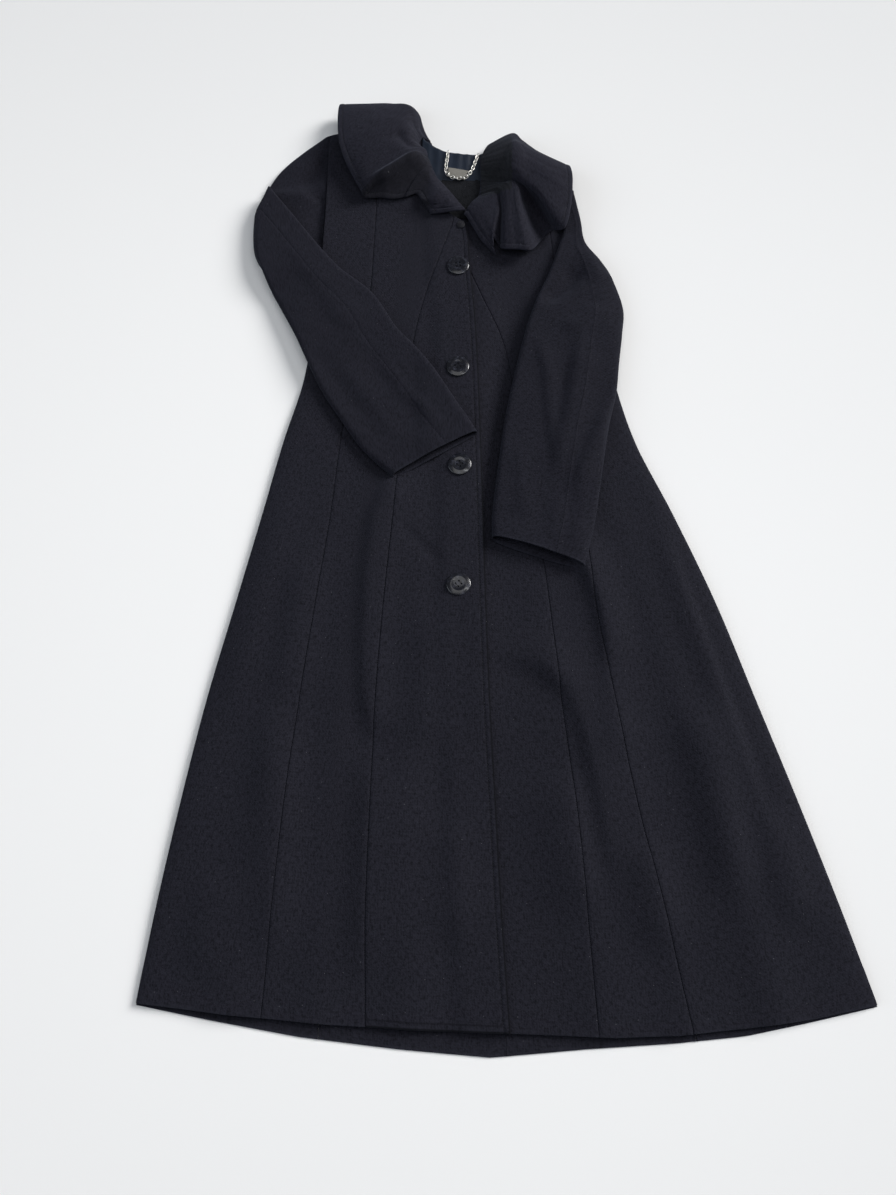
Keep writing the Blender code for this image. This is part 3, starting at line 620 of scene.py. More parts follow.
def stitches(name, path, up, mat, pitch=3.3, size=(1.25, 0.36, 0.30)):
    """Short raised stitches along a path of points; up is the way they stand."""
    s = np.concatenate([[0], np.cumsum(np.linalg.norm(np.diff(path, axis=0), axis=1))])
    at = np.arange(pitch * 0.5, s[-1] - pitch * 0.4, pitch)
    c = np.stack([np.interp(at, s, path[:, k]) for k in range(3)], axis=1)
    w = np.stack([np.interp(at, s, up[:, k]) for k in range(3)], axis=1)
    ahead = np.stack([np.interp(at + 0.5, s, path[:, k]) - np.interp(at - 0.5, s, path[:, k]) for k in range(3)], axis=1)
    ahead /= np.linalg.norm(ahead, axis=1, keepdims=True)
    w /= np.linalg.norm(w, axis=1, keepdims=True)
    b = np.cross(ahead, w)
    ring = [(math.cos(math.tau * k / 6), math.sin(math.tau * k / 6)) for k in range(6)]
    shape = [(-1.0, 0, 0)] + [(-0.62, co, si) for co, si in ring] + [(0.62, co, si) for co, si in ring] + [(1.0, 0, 0)]
    verts = np.concatenate([(c + ahead * size[0] * a + b * size[1] * e + w * size[2] * h)[:, None, :]
                            for a, e, h in shape], axis=1).reshape(-1, 3)
    one = [(0, 1 + (k + 1) % 6, 1 + k) for k in range(6)]
    one += [(1 + k, 1 + (k + 1) % 6, 7 + (k + 1) % 6, 7 + k) for k in range(6)]
    one += [(13, 7 + k, 7 + (k + 1) % 6) for k in range(6)]
    faces = [tuple(i + 14 * k for i in face) for k in range(len(at)) for face in one]
    return mesh_of(name, shift(verts), faces, mat)


def tube(name, path, radius, mat, sides=10, closed=False):
    """A round bar along points; radius may change along it."""
    path = np.asarray(path, float)
    n = len(path)
    radius = np.broadcast_to(np.asarray(radius, float), (n,))
    if closed:
        ahead = np.roll(path, -1, axis=0) - np.roll(path, 1, axis=0)
    else:
        ahead = np.gradient(path, axis=0)
    ahead /= np.linalg.norm(ahead, axis=1, keepdims=True)
    ref = np.array([0.0, 0.0, 1.0]) if abs(ahead[:, 2]).max() < 0.95 else np.array([0.31, 0.95, 0.0])
    a = np.cross(ahead, ref)
    a /= np.maximum(np.linalg.norm(a, axis=1, keepdims=True), 1e-6)
    b = np.cross(ahead, a)
    ang = np.arange(sides) * math.tau / sides
    verts = (path[:, None] + radius[:, None, None] * (np.cos(ang)[None, :, None] * a[:, None]
             + np.sin(ang)[None, :, None] * b[:, None])).reshape(-1, 3)
    faces = []
    for i in range(n if closed else n - 1):
        j = (i + 1) % n
        for k in range(sides):
            m = (k + 1) % sides
            faces.append((i * sides + k, i * sides + m, j * sides + m, j * sides + k))
    if not closed:
        faces.append(tuple(range(sides))[::-1])
        faces.append(tuple((n - 1) * sides + k for k in range(sides)))
    return mesh_of(name, shift(verts), faces, mat)


def joined(name, obs):
    """Several small pieces made one object."""
    verts, faces = [], []
    for ob in obs:
        base = len(verts)
        verts += [tuple(v.co) for v in ob.data.vertices]
        faces += [tuple(base + i for i in p.vertices) for p in ob.data.polygons]
    mat = obs[0].data.materials[0]
    for ob in obs:
        mesh = ob.data
        bpy.data.objects.remove(ob, do_unlink=True)
        bpy.data.meshes.remove(mesh)
    return mesh_of(name, verts, faces, mat)


# ---------------------------------------------------------------- materials
class Nodes:
    """A short way to wire a shader."""

    def __init__(self, name):
        self.mat = bpy.data.materials.new(name)
        self.mat.use_nodes = True
        self.tree = self.mat.node_tree
        self.shader = self.tree.nodes["Principled BSDF"]

    def add(self, kind, **values):
        node = self.tree.nodes.new("ShaderNode" + kind)
        for key, value in values.items():
            setattr(node, key, value)
        return node

    def wire(self, a, b):
        self.tree.links.new(a, b)

    def cut(self, sx=1.0, sy=1.0, turn=0.0):
        uv = self.add("UVMap", uv_map="cut")
        m = self.add("Mapping")
        m.inputs["Scale"].default_value = (sx, sy, 1.0)
        m.inputs["Rotation"].default_value = (0, 0, turn)
        self.wire(uv.outputs["UV"], m.inputs["Vector"])
        return m.outputs["Vector"]

    def place(self, scale=1.0):
        c = self.add("TexCoord")
        m = self.add("Mapping")
        m.inputs["Scale"].default_value = (scale, scale, scale)
        self.wire(c.outputs["Object"], m.inputs["Vector"])
        return m.outputs["Vector"]

    def noise(self, where, scale, detail=3.0, rough=0.55):
        t = self.add("TexNoise")
        t.inputs["Scale"].default_value = scale
        t.inputs["Detail"].default_value = detail
        t.inputs["Roughness"].default_value = rough
        self.wire(where, t.inputs["Vector"])
        return t.outputs["Fac"]

    def wave(self, where, period, direction="X", distort=0.0, detail=0.0):
        t = self.add("TexWave", wave_type="BANDS", bands_direction=direction)
        t.inputs["Scale"].default_value = math.tau / (20.0 * period)
        t.inputs["Distortion"].default_value = distort
        t.inputs["Detail"].default_value = detail
        t.inputs["Detail Scale"].default_value = 1.0
        self.wire(where, t.inputs["Vector"])
        return t.outputs["Fac"]

    def math(self, op, a, b=None, c=None, clamp=False):
        m = self.add("Math", operation=op, use_clamp=clamp)
        for k, value in enumerate((a, b, c)):
            if value is None:
                continue
            if isinstance(value, (int, float)):
                m.inputs[k].default_value = value
            else:
                self.wire(value, m.inputs[k])
        return m.outputs[0]

    def span(self, value, a, b, low=0.0, high=1.0, smooth=True):
        m = self.add("MapRange", interpolation_type="SMOOTHSTEP" if smooth else "LINEAR")
        m.inputs["From Min"].default_value = a
        m.inputs["From Max"].default_value = b
        m.inputs["To Min"].default_value = low
        m.inputs["To Max"].default_value = high
        self.wire(value, m.inputs["Value"])
        return m.outputs["Result"]

    def mix(self, fac, a, b):
        m = self.add("Mix", data_type="RGBA")
        if isinstance(fac, (int, float)):
            m.inputs["Factor"].default_value = fac
        else:
            self.wire(fac, m.inputs["Factor"])
        for key, value in ((6, a), (7, b)):
            if isinstance(value, tuple):
                m.inputs[key].default_value = (*value, 1.0)
            else:
                self.wire(value, m.inputs[key])
        return m.outputs[2]

    def bump(self, height, strength, distance):
        b = self.add("Bump")
        b.inputs["Strength"].default_value = strength
        b.inputs["Distance"].default_value = distance
        self.wire(height, b.inputs["Height"])
        self.wire(b.outputs["Normal"], self.shader.inputs["Normal"])

    def set(self, **values):
        for key, value in values.items():
            self.shader.inputs[key.replace("_", " ")].default_value = value


def wool(name, base, lift, cool, rim=0.0):
    """Dense twill: diagonal ribs, crossing threads, short nap, lint, worn edges; painted shade in seams, at a finished
    edge's rim and topstitch groove, and on a marked facet.
    """
    n = Nodes(name)
    cut = n.cut()
    ribs = n.wave(cut, 0.00195, "DIAGONAL", distort=0.9, detail=1.0)
    weft = n.wave(cut, 0.0012, "Y", distort=0.6)
    warp = n.wave(cut, 0.0016, "X", distort=0.6)
    nap = n.noise(cut, 1500.0, 4.0, 0.7)
    fibre = n.noise(n.cut(420.0, 1900.0, 0.55), 1.0, 3.0, 0.6)
    slub = n.noise(n.cut(60.0, 700.0), 1.0, 2.0, 0.5)
    cloud = n.noise(n.place(), 9.0, 3.0, 0.5)
    patch = n.noise(n.place(), 38.0, 2.0, 0.5)
    tone = n.math("MULTIPLY_ADD", cloud, 0.42, 0.0)
    tone = n.math("MULTIPLY_ADD", patch, 0.22, tone)
    tone = n.math("MULTIPLY_ADD", slub, 0.20, tone)
    tone = n.math("MULTIPLY_ADD", ribs, 0.16, tone, clamp=True)
    colour = n.mix(tone, tuple(c * 0.72 for c in base), lift)
    grain = n.noise(n.cut(210.0, 420.0), 1.0, 4.0, 0.65)
    streak = n.noise(n.cut(620.0, 130.0), 1.0, 3.0, 0.6)
    grain = n.math("MULTIPLY_ADD", streak, 0.5, n.math("MULTIPLY", grain, 0.5))
    colour = n.mix(n.span(grain, 0.40, 0.60, 0.0, 0.72, smooth=False), colour, tuple(c * 1.5 for c in lift))
    colour = n.mix(n.span(grain, 0.36, 0.50, 0.66, 0.0, smooth=False), colour, tuple(c * 0.45 for c in base))
    colour = n.mix(n.span(fibre, 0.52, 0.80, 0.0, 0.40), colour, cool)
    worn = n.add("Attribute", attribute_name="edge_mm")
    rub = n.math("MULTIPLY", n.span(worn.outputs["Fac"], 0.2, 4.5, 0.30, 0.0), n.span(patch, 0.30, 0.65))
    colour = n.mix(rub, colour, cool)
    # painted shade: the dark colour mixed in along finished edges, into the topstitch groove, into the seams
    shade = tuple(c * 0.22 for c in base)
    # painted shadow: the outermost mm of a finished edge darkened for the shadow in the gap under it, and the topstitch
    # groove darkened for the shade in it
    if rim:
        colour = n.mix(n.span(worn.outputs["Fac"], 1.0, 3.2, rim, 0.0), colour, shade)
        sunk = n.math("ABSOLUTE", n.math("SUBTRACT", worn.outputs["Fac"], TOPSTITCH))
        colour = n.mix(n.span(sunk, 0.3, 1.6, 0.45, 0.0), colour, shade)
    # painted shade: the marked facet of the right ruffle darkened for the shade it lies in, the same face of the same
    # cloth
    facet_shade = n.add("Attribute", attribute_name="facet_shade")
    colour = n.mix(n.math("MULTIPLY", facet_shade.outputs["Fac"], 0.50), colour, (0.0058, 0.0058, 0.0070))
    # painted shade: the cloth darkened close to a seam, for the shade in the seam's groove
    seam_shade_at = n.add("Attribute", attribute_name="seam_mm")
    colour = n.mix(n.span(seam_shade_at.outputs["Fac"], 0.2, 1.6, 0.22, 0.0), colour, shade)
    specks = n.add("TexVoronoi", voronoi_dimensions="2D", feature="F1")
    specks.inputs["Scale"].default_value = 46.0
    n.wire(cut, specks.inputs["Vector"])
    dot = n.span(specks.outputs["Distance"], 0.010, 0.024, 1.0, 0.0)
    pick = n.add("SeparateColor")
    n.wire(specks.outputs["Color"], pick.inputs["Color"])
    dot = n.math("MULTIPLY", dot, n.math("GREATER_THAN", pick.outputs["Red"], 0.80))
    colour = n.mix(n.math("MULTIPLY", dot, 0.55), colour, (0.13, 0.13, 0.14))
    n.wire(colour, n.shader.inputs["Base Color"])
    n.wire(n.span(nap, 0.2, 0.8, 0.78, 0.96), n.shader.inputs["Roughness"])
    height = n.math("MULTIPLY", ribs, 0.46)
    height = n.math("MULTIPLY_ADD", weft, 0.16, height)
    height = n.math("MULTIPLY_ADD", warp, 0.14, height)
    height = n.math("MULTIPLY_ADD", nap, 0.55, height)
    height = n.math("MULTIPLY_ADD", slub, 0.30, height)
    n.bump(height, 0.55, 0.00022)
    n.set(Specular_IOR_Level=0.06, Sheen_Weight=0.06, Sheen_Roughness=0.55)
    n.shader.inputs["Sheen Tint"].default_value = (0.62, 0.68, 0.90, 1.0)
    return n.mat


def satin(name, base, lift):
    n = Nodes(name)
    cut = n.cut()
    fine = n.wave(cut, 0.00055, "X", distort=0.8)
    drift = n.noise(n.cut(420.0, 22.0), 1.0, 3.0, 0.5)
    cloud = n.noise(n.place(), 26.0, 2.0, 0.5)
    colour = n.mix(n.math("MULTIPLY_ADD", cloud, 0.5, n.math("MULTIPLY", drift, 0.5), clamp=True), base, lift)
    n.wire(colour, n.shader.inputs["Base Color"])
    n.wire(n.span(drift, 0.2, 0.8, 0.30, 0.46), n.shader.inputs["Roughness"])
    n.bump(n.math("MULTIPLY_ADD", fine, 0.35, n.math("MULTIPLY", drift, 0.6)), 0.35, 0.00012)
    n.set(Specular_IOR_Level=0.45, Sheen_Weight=0.15, Sheen_Roughness=0.35, Anisotropic=0.4)
    n.shader.inputs["Sheen Tint"].default_value = (0.6, 0.8, 1.0, 1.0)
    return n.mat


def tape(name):
    n = Nodes(name)
    cut = n.cut()
    warp = n.wave(cut, 0.00075, "X", distort=0.3)
    weft = n.wave(cut, 0.00060, "Y", distort=0.3)
    age = n.noise(n.place(), 120.0, 3.0, 0.55)
    weave = n.math("MULTIPLY", warp, weft)
    colour = n.mix(n.math("MULTIPLY_ADD", weave, 0.5, n.math("MULTIPLY", age, 0.5), clamp=True),
                   (0.13, 0.125, 0.11), (0.26, 0.25, 0.225))
    n.wire(colour, n.shader.inputs["Base Color"])
    n.wire(n.span(age, 0.2, 0.8, 0.62, 0.8), n.shader.inputs["Roughness"])
    n.bump(weave, 0.5, 0.00015)
    n.set(Specular_IOR_Level=0.3, Sheen_Weight=0.1)
    return n.mat


def resin(name):
    """Polished dark resin with smoky swirls, finely scratched."""
    n = Nodes(name)
    at = n.place()
    warp = n.add("TexNoise")
    warp.inputs["Scale"].default_value = 70.0
    warp.inputs["Detail"].default_value = 3.0
    n.wire(at, warp.inputs["Vector"])
    bend = n.add("VectorMath", operation="MULTIPLY_ADD")
    n.wire(warp.outputs["Color"], bend.inputs[0])
    bend.inputs[1].default_value = (0.012, 0.012, 0.012)
    n.wire(at, bend.inputs[2])
    swirl = n.noise(bend.outputs["Vector"], 170.0, 4.0, 0.6)
    fleck = n.noise(at, 900.0, 2.0, 0.5)
    colour = n.mix(n.span(swirl, 0.46, 0.70), (0.0055, 0.0060, 0.0095), (0.026, 0.028, 0.040))
    colour = n.mix(n.span(fleck, 0.68, 0.78, 0.0, 0.25), colour, (0.10, 0.10, 0.12))
    n.wire(colour, n.shader.inputs["Base Color"])
    scratch = n.noise(n.place(1.0), 1400.0, 2.0, 0.6)
    n.wire(n.span(scratch, 0.3, 0.8, 0.20, 0.32), n.shader.inputs["Roughness"])
    n.bump(scratch, 0.05, 0.00005)
    n.set(Specular_IOR_Level=0.42, Coat_Weight=0.25, Coat_Roughness=0.10)
    return n.mat


def metal(name):
    n = Nodes(name)
    at = n.place()
    spots = n.noise(at, 420.0, 3.0, 0.6)
    fine = n.noise(at, 2600.0, 2.0, 0.6)
    colour = n.mix(n.span(spots, 0.40, 0.68), (0.88, 0.87, 0.84), (0.52, 0.50, 0.45))
    n.wire(colour, n.shader.inputs["Base Color"])
    n.wire(n.span(fine, 0.3, 0.7, 0.26, 0.42), n.shader.inputs["Roughness"])
    n.bump(fine, 0.08, 0.00005)
    n.set(Metallic=1.0)
    return n.mat


def thread(name, base):
    n = Nodes(name)
    at = n.place()
    ply = n.wave(at, 0.0006, "DIAGONAL", distort=0.4)
    fuzz = n.noise(at, 2400.0, 2.0, 0.6)
    colour = n.mix(n.math("MULTIPLY_ADD", ply, 0.6, n.math("MULTIPLY", fuzz, 0.4), clamp=True),
                   tuple(c * 0.7 for c in base), tuple(c * 1.5 for c in base))
    n.wire(colour, n.shader.inputs["Base Color"])
    n.wire(n.span(fuzz, 0.3, 0.7, 0.50, 0.72), n.shader.inputs["Roughness"])
    n.bump(ply, 0.4, 0.0001)
    n.set(Specular_IOR_Level=0.12, Sheen_Weight=0.05)
    return n.mat


def paper_floor(name):
    n = Nodes(name)
    at = n.place()
    cloud = n.noise(at, 1.1, 2.0, 0.4)
    tooth = n.noise(at, 320.0, 3.0, 0.5)
    n.wire(n.mix(cloud, (0.835, 0.835, 0.835), (0.865, 0.865, 0.862)), n.shader.inputs["Base Color"])
    n.wire(n.span(tooth, 0.2, 0.8, 0.62, 0.75), n.shader.inputs["Roughness"])
    n.set(Specular_IOR_Level=0.12)
    return n.mat


NAVY = wool("navy_wool", (0.0068, 0.0067, 0.0102), (0.0116, 0.0115, 0.0166), (0.025, 0.026, 0.036))
# the front edge's wool, with painted shadow along its rim and painted shade in its topstitch groove
FRONT = wool("front_edge_wool", (0.0068, 0.0067, 0.0102), (0.0116, 0.0115, 0.0166), (0.025, 0.026, 0.036), 0.9)
# a slightly lighter, bluer copy of the navy wool for the collar: painted light
COLLAR = wool("collar_wool", (0.0072, 0.0070, 0.0110), (0.0122, 0.0120, 0.0178), (0.027, 0.028, 0.041))
# a darker copy of the navy wool for the sleeves: painted shade
SLEEVE = wool("sleeve_wool_painted_shade", (0.0058, 0.0057, 0.0090), (0.0100, 0.0099, 0.0147), (0.022, 0.023, 0.033))
LINED = satin("lining_satin", (0.006, 0.010, 0.019), (0.015, 0.022, 0.038))
FACING = wool("facing_wool", (0.0066, 0.0070, 0.0084), (0.0108, 0.0114, 0.0132), (0.020, 0.022, 0.025))
TAPE = tape("label_cloth")
RESIN = resin("button_resin")
METAL = metal("chain_metal")
THREAD = thread("navy_thread", (0.0075, 0.0078, 0.0115))
COVER = thread("snap_cover", (0.0085, 0.0088, 0.0120))
PALE_THREAD = thread("label_thread", (0.20, 0.19, 0.17))

# ------------------------------------------------------------------- panels
def settled(height, rows=()):
    """A height over the surface with the soft unevenness of laid cloth."""
    def f(x, y):
        room = ease((body_line("left_side", y) - x) / 40) * ease((x - body_line("right_side", y)) / 40)
        calm = room * ease((600 - y) / 60)
        z = height(x, y) + 0.30 * calm * ripple(x, y, 128.0, 1.0, 0.4)
        return z + calm * creases(x, y, rows)
    return f


def body_piece(name, node, left, right, hem, top, height, step_u, step_v, ends, side=1.0,
               start=FINE, stop=FINE, wall=CLOTH, mat=None):
    f = panel(left, right, hem, top, height)
    vs = places(1190.0, step_v)[:, 0]
    mid = f(np.full(len(vs), 0.5), vs)[1]
    width = body_line(right, mid) - body_line(left, mid)
    us = places(width, step_u, start, stop)
    v = np.broadcast_to(vs[None, :], us.shape)
    p = np.stack(f(us, v), axis=-1)
    p[0, :, 0] -= MEET * (left == "centre_back")
    p[-1, :, 0] += MEET * (right == "centre_back")
    ob, p, n = shell(name, p, wall, mat or NAVY, ends, side)
    settle(ob, node)
    return ob, p, n


lapped = lambda x, y: front_height(x, y) + lap(x, y)
front = settled(front_height, BODY_CREASES)
over = settled(lapped, BODY_CREASES)

made = {}
made["right_front_side"] = body_piece(
    "right_front_side_wool", "right_front_side", "right_side", "right_outer", FRONT_HEM, FRONT_TOP,
    front, 5.5, 6.5, {"u0": "seam", "u1": "seam", "v0": "hem", "v1": "seam"})
made["right_front_middle"] = body_piece(
    "right_front_middle_wool", "right_front_middle", "right_outer", "right_inner", FRONT_HEM, FRONT_TOP,
    over, 5.5, 6.5, {"u0": "seam", "u1": "seam", "v0": "hem", "v1": "seam"})
made["right_front_centre"] = body_piece(
    "right_front_centre_wool", "right_front_centre", "right_inner", "front_edge", FRONT_HEM, FRONT_TOP,
    over, 5.5, 6.5, {"u0": "seam", "u1": "stitched", "v0": "hem"}, stop=STITCHED, wall=2.2, mat=FRONT)
made["left_front_centre"] = body_piece(
    "left_front_centre_wool", "left_front_centre", "left_under", "left_inner", FRONT_HEM, FRONT_TOP,
    front, 5.5, 6.5, {"u1": "seam", "v0": "hem"})
made["left_front_middle"] = body_piece(
    "left_front_middle_wool", "left_front_middle", "left_inner", "left_outer", FRONT_HEM, FRONT_TOP,
    front, 5.5, 6.5, {"u0": "seam", "u1": "seam", "v0": "hem", "v1": "seam"})
made["left_front_side"] = body_piece(
    "left_front_side_wool", "left_front_side", "left_outer", "left_side", FRONT_HEM, FRONT_TOP,
    front, 5.5, 6.5, {"u0": "seam", "u1": "seam", "v0": "hem", "v1": "seam"})
for name, a, b in (("right_back_side", "right_side", "back_right"),
                   ("right_back_centre", "back_right", "centre_back"),
                   ("left_back_centre", "centre_back", "back_left"),
                   ("left_back_side", "back_left", "left_side")):
    made[name] = body_piece(name + "_wool", name, a, b, BACK_HEM, BACK_TOP, back_height, 10.0, 9.0,
                            {"u0": "seam", "u1": "seam", "v0": "hem", "v1": "seam"}, side=-1.0)


# ------------------------------------------------------------------ sleeves
def right_sleeve_shown(u, r):
    x, y, z = right_sleeve(u, r)
    x = x + 2.6 * ease(1 - u / 0.06)
    s = (1 - np.cos(np.pi * r)) / 2
    fold = np.sin(np.pi * np.clip(u - 1, 0, 1))
    x = x + (2.6 + 5.0 * ease((s - 0.5) / 0.5)) * fold * (1 - np.sqrt(1 - (2 * s - 1) ** 4))   # its ends rounded off
    tip = ease((0.42 - s) / 0.42) * ease(1 - np.abs(u - 1.6) / 0.85)
    x, y = x + 7.0 * tip, y - 10.5 * tip
    turn = np.sin(np.pi * (r % 2.0))
    fore, upper = np.clip(u - 2, 0, 1), np.clip(1 - u, 0, 1)
    calm = ease(fore / 0.10) * ease(np.maximum(turn, 0) / 0.5)
    z = z + calm * (creases(x, y, FOREARM_CREASES) + ripple(x, y, 64.0, 0.45, 0.8))
    mouth = ease((fore - 0.88) / 0.12)      # the cuff stands open, its lower layer a little longer
    z = z + 1.6 * np.maximum(turn, 0) * mouth
    x, y = x - 1.5 * turn * mouth, y + 2.0 * turn * mouth
    calm = ease(upper / 0.10) * ease(np.maximum(-turn, 0) / 0.5)
    z = z + calm * (creases(x, y, UPPER_ARM_CREASES) + ripple(x, y, 58.0, 0.35, 0.2))
    return x, y, z


def left_sleeve_shown(u, r):
    x, y, z = left_sleeve(u, r)
    calm = ease(np.maximum(np.sin(np.pi * (r % 2.0)), 0) / 0.45) * ease((u - 0.03) / 0.1)
    z = z + calm * (creases(x, y, LEFT_ARM_CREASES) + ripple(x, y, 70.0, 0.5, 1.1))
    s = (1 - np.cos(np.pi * r)) / 2
    x = x + 4.5 * (1 - s) ** 2 * np.exp(-((u - 0.22) / 0.07) ** 2)      # fuller at the shoulder
    turn, mouth = np.sin(np.pi * (r % 2.0)), ease((u - 0.86) / 0.14)
    return x, y + 4.8 * turn * mouth, z + 3.2 * np.maximum(turn, 0) * mouth


def sleeve_piece(name, node, f, along, a, b, turn_step, side, ends):
    around = np.linspace(a, b, 1 + max(8, round((b - a) / turn_step)))
    lead = np.array([0.0, 0.0006, 0.0018, 0.004, 0.008, 0.014]) * 1.6
    around = np.concatenate([a + lead, around[(around > a + lead[-1] + 0.004) & (around < b - lead[-1] - 0.004)],
                             b - lead[::-1]])
    u, r = np.meshgrid(along, around, indexing="ij")
    p = np.stack(f(u, r), axis=-1)
    ob, p, n = shell(name, p, CLOTH, SLEEVE, ends, side)
    settle(ob, node)
    return ob, p, n


GAP = 0.0006
arm = np.concatenate([places(80.0, 4.0)[:, 0], 1 + np.linspace(0, 1, 15)[1:-1],
                      2 + np.concatenate([np.linspace(0, 0.35, 40)[:-1], 0.35 + 0.65 * places(340.0, 5.0, (0,), FINE)[:, 0]])])
first, second = RIGHT_SEAMS
made["right_sleeve_top"] = sleeve_piece(
    "right_sleeve_top_wool", "right_sleeve_top", right_sleeve_shown, arm, second + GAP, 2 + first - GAP, 0.022, -1.0,
    {"u0": "seam", "u1": "hem", "v0": "pressed", "v1": "pressed"})
made["right_sleeve_under"] = sleeve_piece(
    "right_sleeve_under_wool", "right_sleeve_under", right_sleeve_shown, arm, first + GAP, second - GAP, 0.022, -1.0,
    {"u0": "seam", "u1": "hem", "v0": "pressed", "v1": "pressed"})
arm = places(560.0, 4.5)[:, 0]
first, second = LEFT_SEAMS
made["left_sleeve_top"] = sleeve_piece(
    "left_sleeve_top_wool", "left_sleeve_top", left_sleeve_shown, arm, first + GAP, second - GAP, 0.022, 1.0,
    {"u0": "seam", "u1": "hem", "v0": "pressed", "v1": "pressed"})
made["left_sleeve_under"] = sleeve_piece(
    "left_sleeve_under_wool", "left_sleeve_under", left_sleeve_shown, arm, second + GAP, 2 + first - GAP, 0.022, 1.0,
    {"u0": "seam", "u1": "hem", "v0": "pressed", "v1": "pressed"})


# ------------------------------------------------------------------- collar
def ruffle_piece(name, node, table, side):
    f = ruffle(table)
    n = len(table) - 1
    us = np.concatenate([[0, 0.004, 0.012, 0.025, 0.045, 0.08], np.linspace(0.12, n - 0.12, 13 * n),
                         n - np.array([0.08, 0.045, 0.025, 0.012, 0.004, 0])])
    vs = places(112.0, 1.9, FINE, STITCHED)[:, 0]
    u, v = np.meshgrid(us, vs, indexing="ij")
    p = np.stack(f(u, v), axis=-1)
    x, y = p[..., 0], p[..., 1]
    inner = (side > 0) * ease((y - 556) / 16) * ease((x + 150) / 45) * ease((13.6 - u) / 1.2)
    p[..., 0] = x - inner * (6.5 + 5.0 * np.exp(-((y - 600) / 16) ** 2))
    corner = (side > 0) * np.exp(-((x + 110) ** 2 + (y - 632) ** 2) / 13.0 ** 2)
    p[..., 0] += 3.0 * corner
    p[..., 1] += 3.0 * corner
    slack = 0.16 * np.sin(2 * math.pi * 0.83 * u + 5.0 * v) + 0.10 * np.sin(2 * math.pi * 1.9 * u - 4.0 * v)
    slack += creases(p[..., 0], p[..., 1], COLLAR_CREASES) * ease((p[..., 2] - 12) / 5)
    shown = ease((n - 3.0 - u) / 1.0)
    ob, p, nrm = shell(name, p, DOUBLED, COLLAR, {"u0": "stitched", "v0": "seam", "v1": "stitched"}, side,
                       profile=slack * shown)
    if side > 0:
        # painted shade: mark the facet below the line, whose colour the wool material darkens
        x, y = p[..., 0], p[..., 1]
        (ax, ay), (bx, by) = SHADED_FACET_LINE
        below = -((bx - ax) * (y - ay) - (by - ay) * (x - ax)) / math.hypot(bx - ax, by - ay)
        face = ease(below / 2.5) * ease((SHADED_FACET_TO - x) / 9) * (p[..., 2] > 12)
        layer = ob.data.attributes.new("facet_shade", "FLOAT", "POINT")
        layer.data.foreach_set("value", np.concatenate([face.ravel(), face.ravel()]).astype(np.float32))
    ob.data.materials.append(FACING)        # the inner side of the collar's stand, by the neck
    for face in ob.data.polygons:
        x, y = face.center[0] / MM - SHIFT[0], face.center[1] / MM - SHIFT[1]
        if STAND[0] < x < STAND[1] + 0.02 * (y - 520) and y > STAND[2]:
            face.material_index = 1
    settle(ob, node)
    return ob, p, nrm


made["collar_ruffle_right"] = ruffle_piece("collar_ruffle_right_wool", "collar_ruffle_right", RUFFLE_RIGHT, 1.0)
made["collar_ruffle_left"] = ruffle_piece("collar_ruffle_left_wool", "collar_ruffle_left", RUFFLE_LEFT, -1.0)


# --------------------------------------------------------- inside the neck
def lining_shown(u, v):
    x, y, z = lining(u, v)
    fold = sum(0.9 * np.exp(-((x - c - 0.05 * (y - 520)) / 4.2) ** 2) for c in NECK_PLEATS)
    fold = fold * ease((y - FACING_TOP) / 14) - 0.35 * np.exp(-((y - FACING_TOP) / 1.3) ** 2)
    return x, y, z + fold * ease(v / 0.15) + 0.15 * ripple(x, y, 30.0, 1.0, 0.3)


u, v = np.meshgrid(places(112.0, 1.6)[:, 0], places(110.0, 2.2)[:, 0], indexing="ij")
ob, p, n = shell("back_lining_satin", np.stack(lining_shown(u, v), axis=-1), SATIN, LINED, {"v1": "seam"})
ob.data.materials.append(FACING)        # below the label the lining meets the wool facing
for face in ob.data.polygons:
    if face.center[1] < (FACING_TOP + SHIFT[1]) * MM:
        face.material_index = 1
settle(ob, "back_lining")
made["back_lining"] = (ob, p, n)


def label_shown(u, v):
    x, y, z = label(u, v)
    return x, y, z + 1.1 + 0.5 * np.sin(np.pi * u) * np.sin(np.pi * v)


u, v = np.meshgrid(places(26.0, 1.0)[:, 0], places(16.0, 1.0)[:, 0], indexing="ij")
ob, p, n = shell("neck_label_tape", np.stack(label_shown(u, v), axis=-1), 0.6, TAPE,
                 {"u0": "hem", "u1": "hem"})
settle(ob, "neck_label")
made["neck_label"] = (ob, p, n)

# ------------------------------------------------------------------- thread
def line_inside(grid, nrm, wall, gap, axis, end, depth):
    """Points that run a set distance inside one edge of a finished piece."""
    if end:
        grid, nrm = np.flip(grid, axis), np.flip(nrm, axis)
    d = arc(grid, axis)
    if axis == 0:
        grid, nrm, d = np.swapaxes(grid, 0, 1), np.swapaxes(nrm, 0, 1), d.T
    pts, ups = [], []
    for row, up, s in zip(grid, nrm, d):
        pts.append([np.interp(gap, s, row[:, k]) for k in range(3)])
        ups.append([np.interp(gap, s, up[:, k]) for k in range(3)])
    pts, ups = np.array(pts), np.array(ups)
    return pts + ups * (0.5 * wall + depth), ups


def stitched_edge(name, key, wall, axis, end, keep=slice(None), both=False):
    ob, grid, nrm = made[key]
    lines = []
    for sign in ((1.0, -1.0) if both else (1.0,)):
        pts, ups = line_inside(grid, nrm * sign, wall, TOPSTITCH, axis, end, 0.02)
        lines.append(stitches(name, pts[keep], ups[keep], THREAD))
    one = joined(name, lines) if len(lines) > 1 else lines[0]
    return settle(one, None)


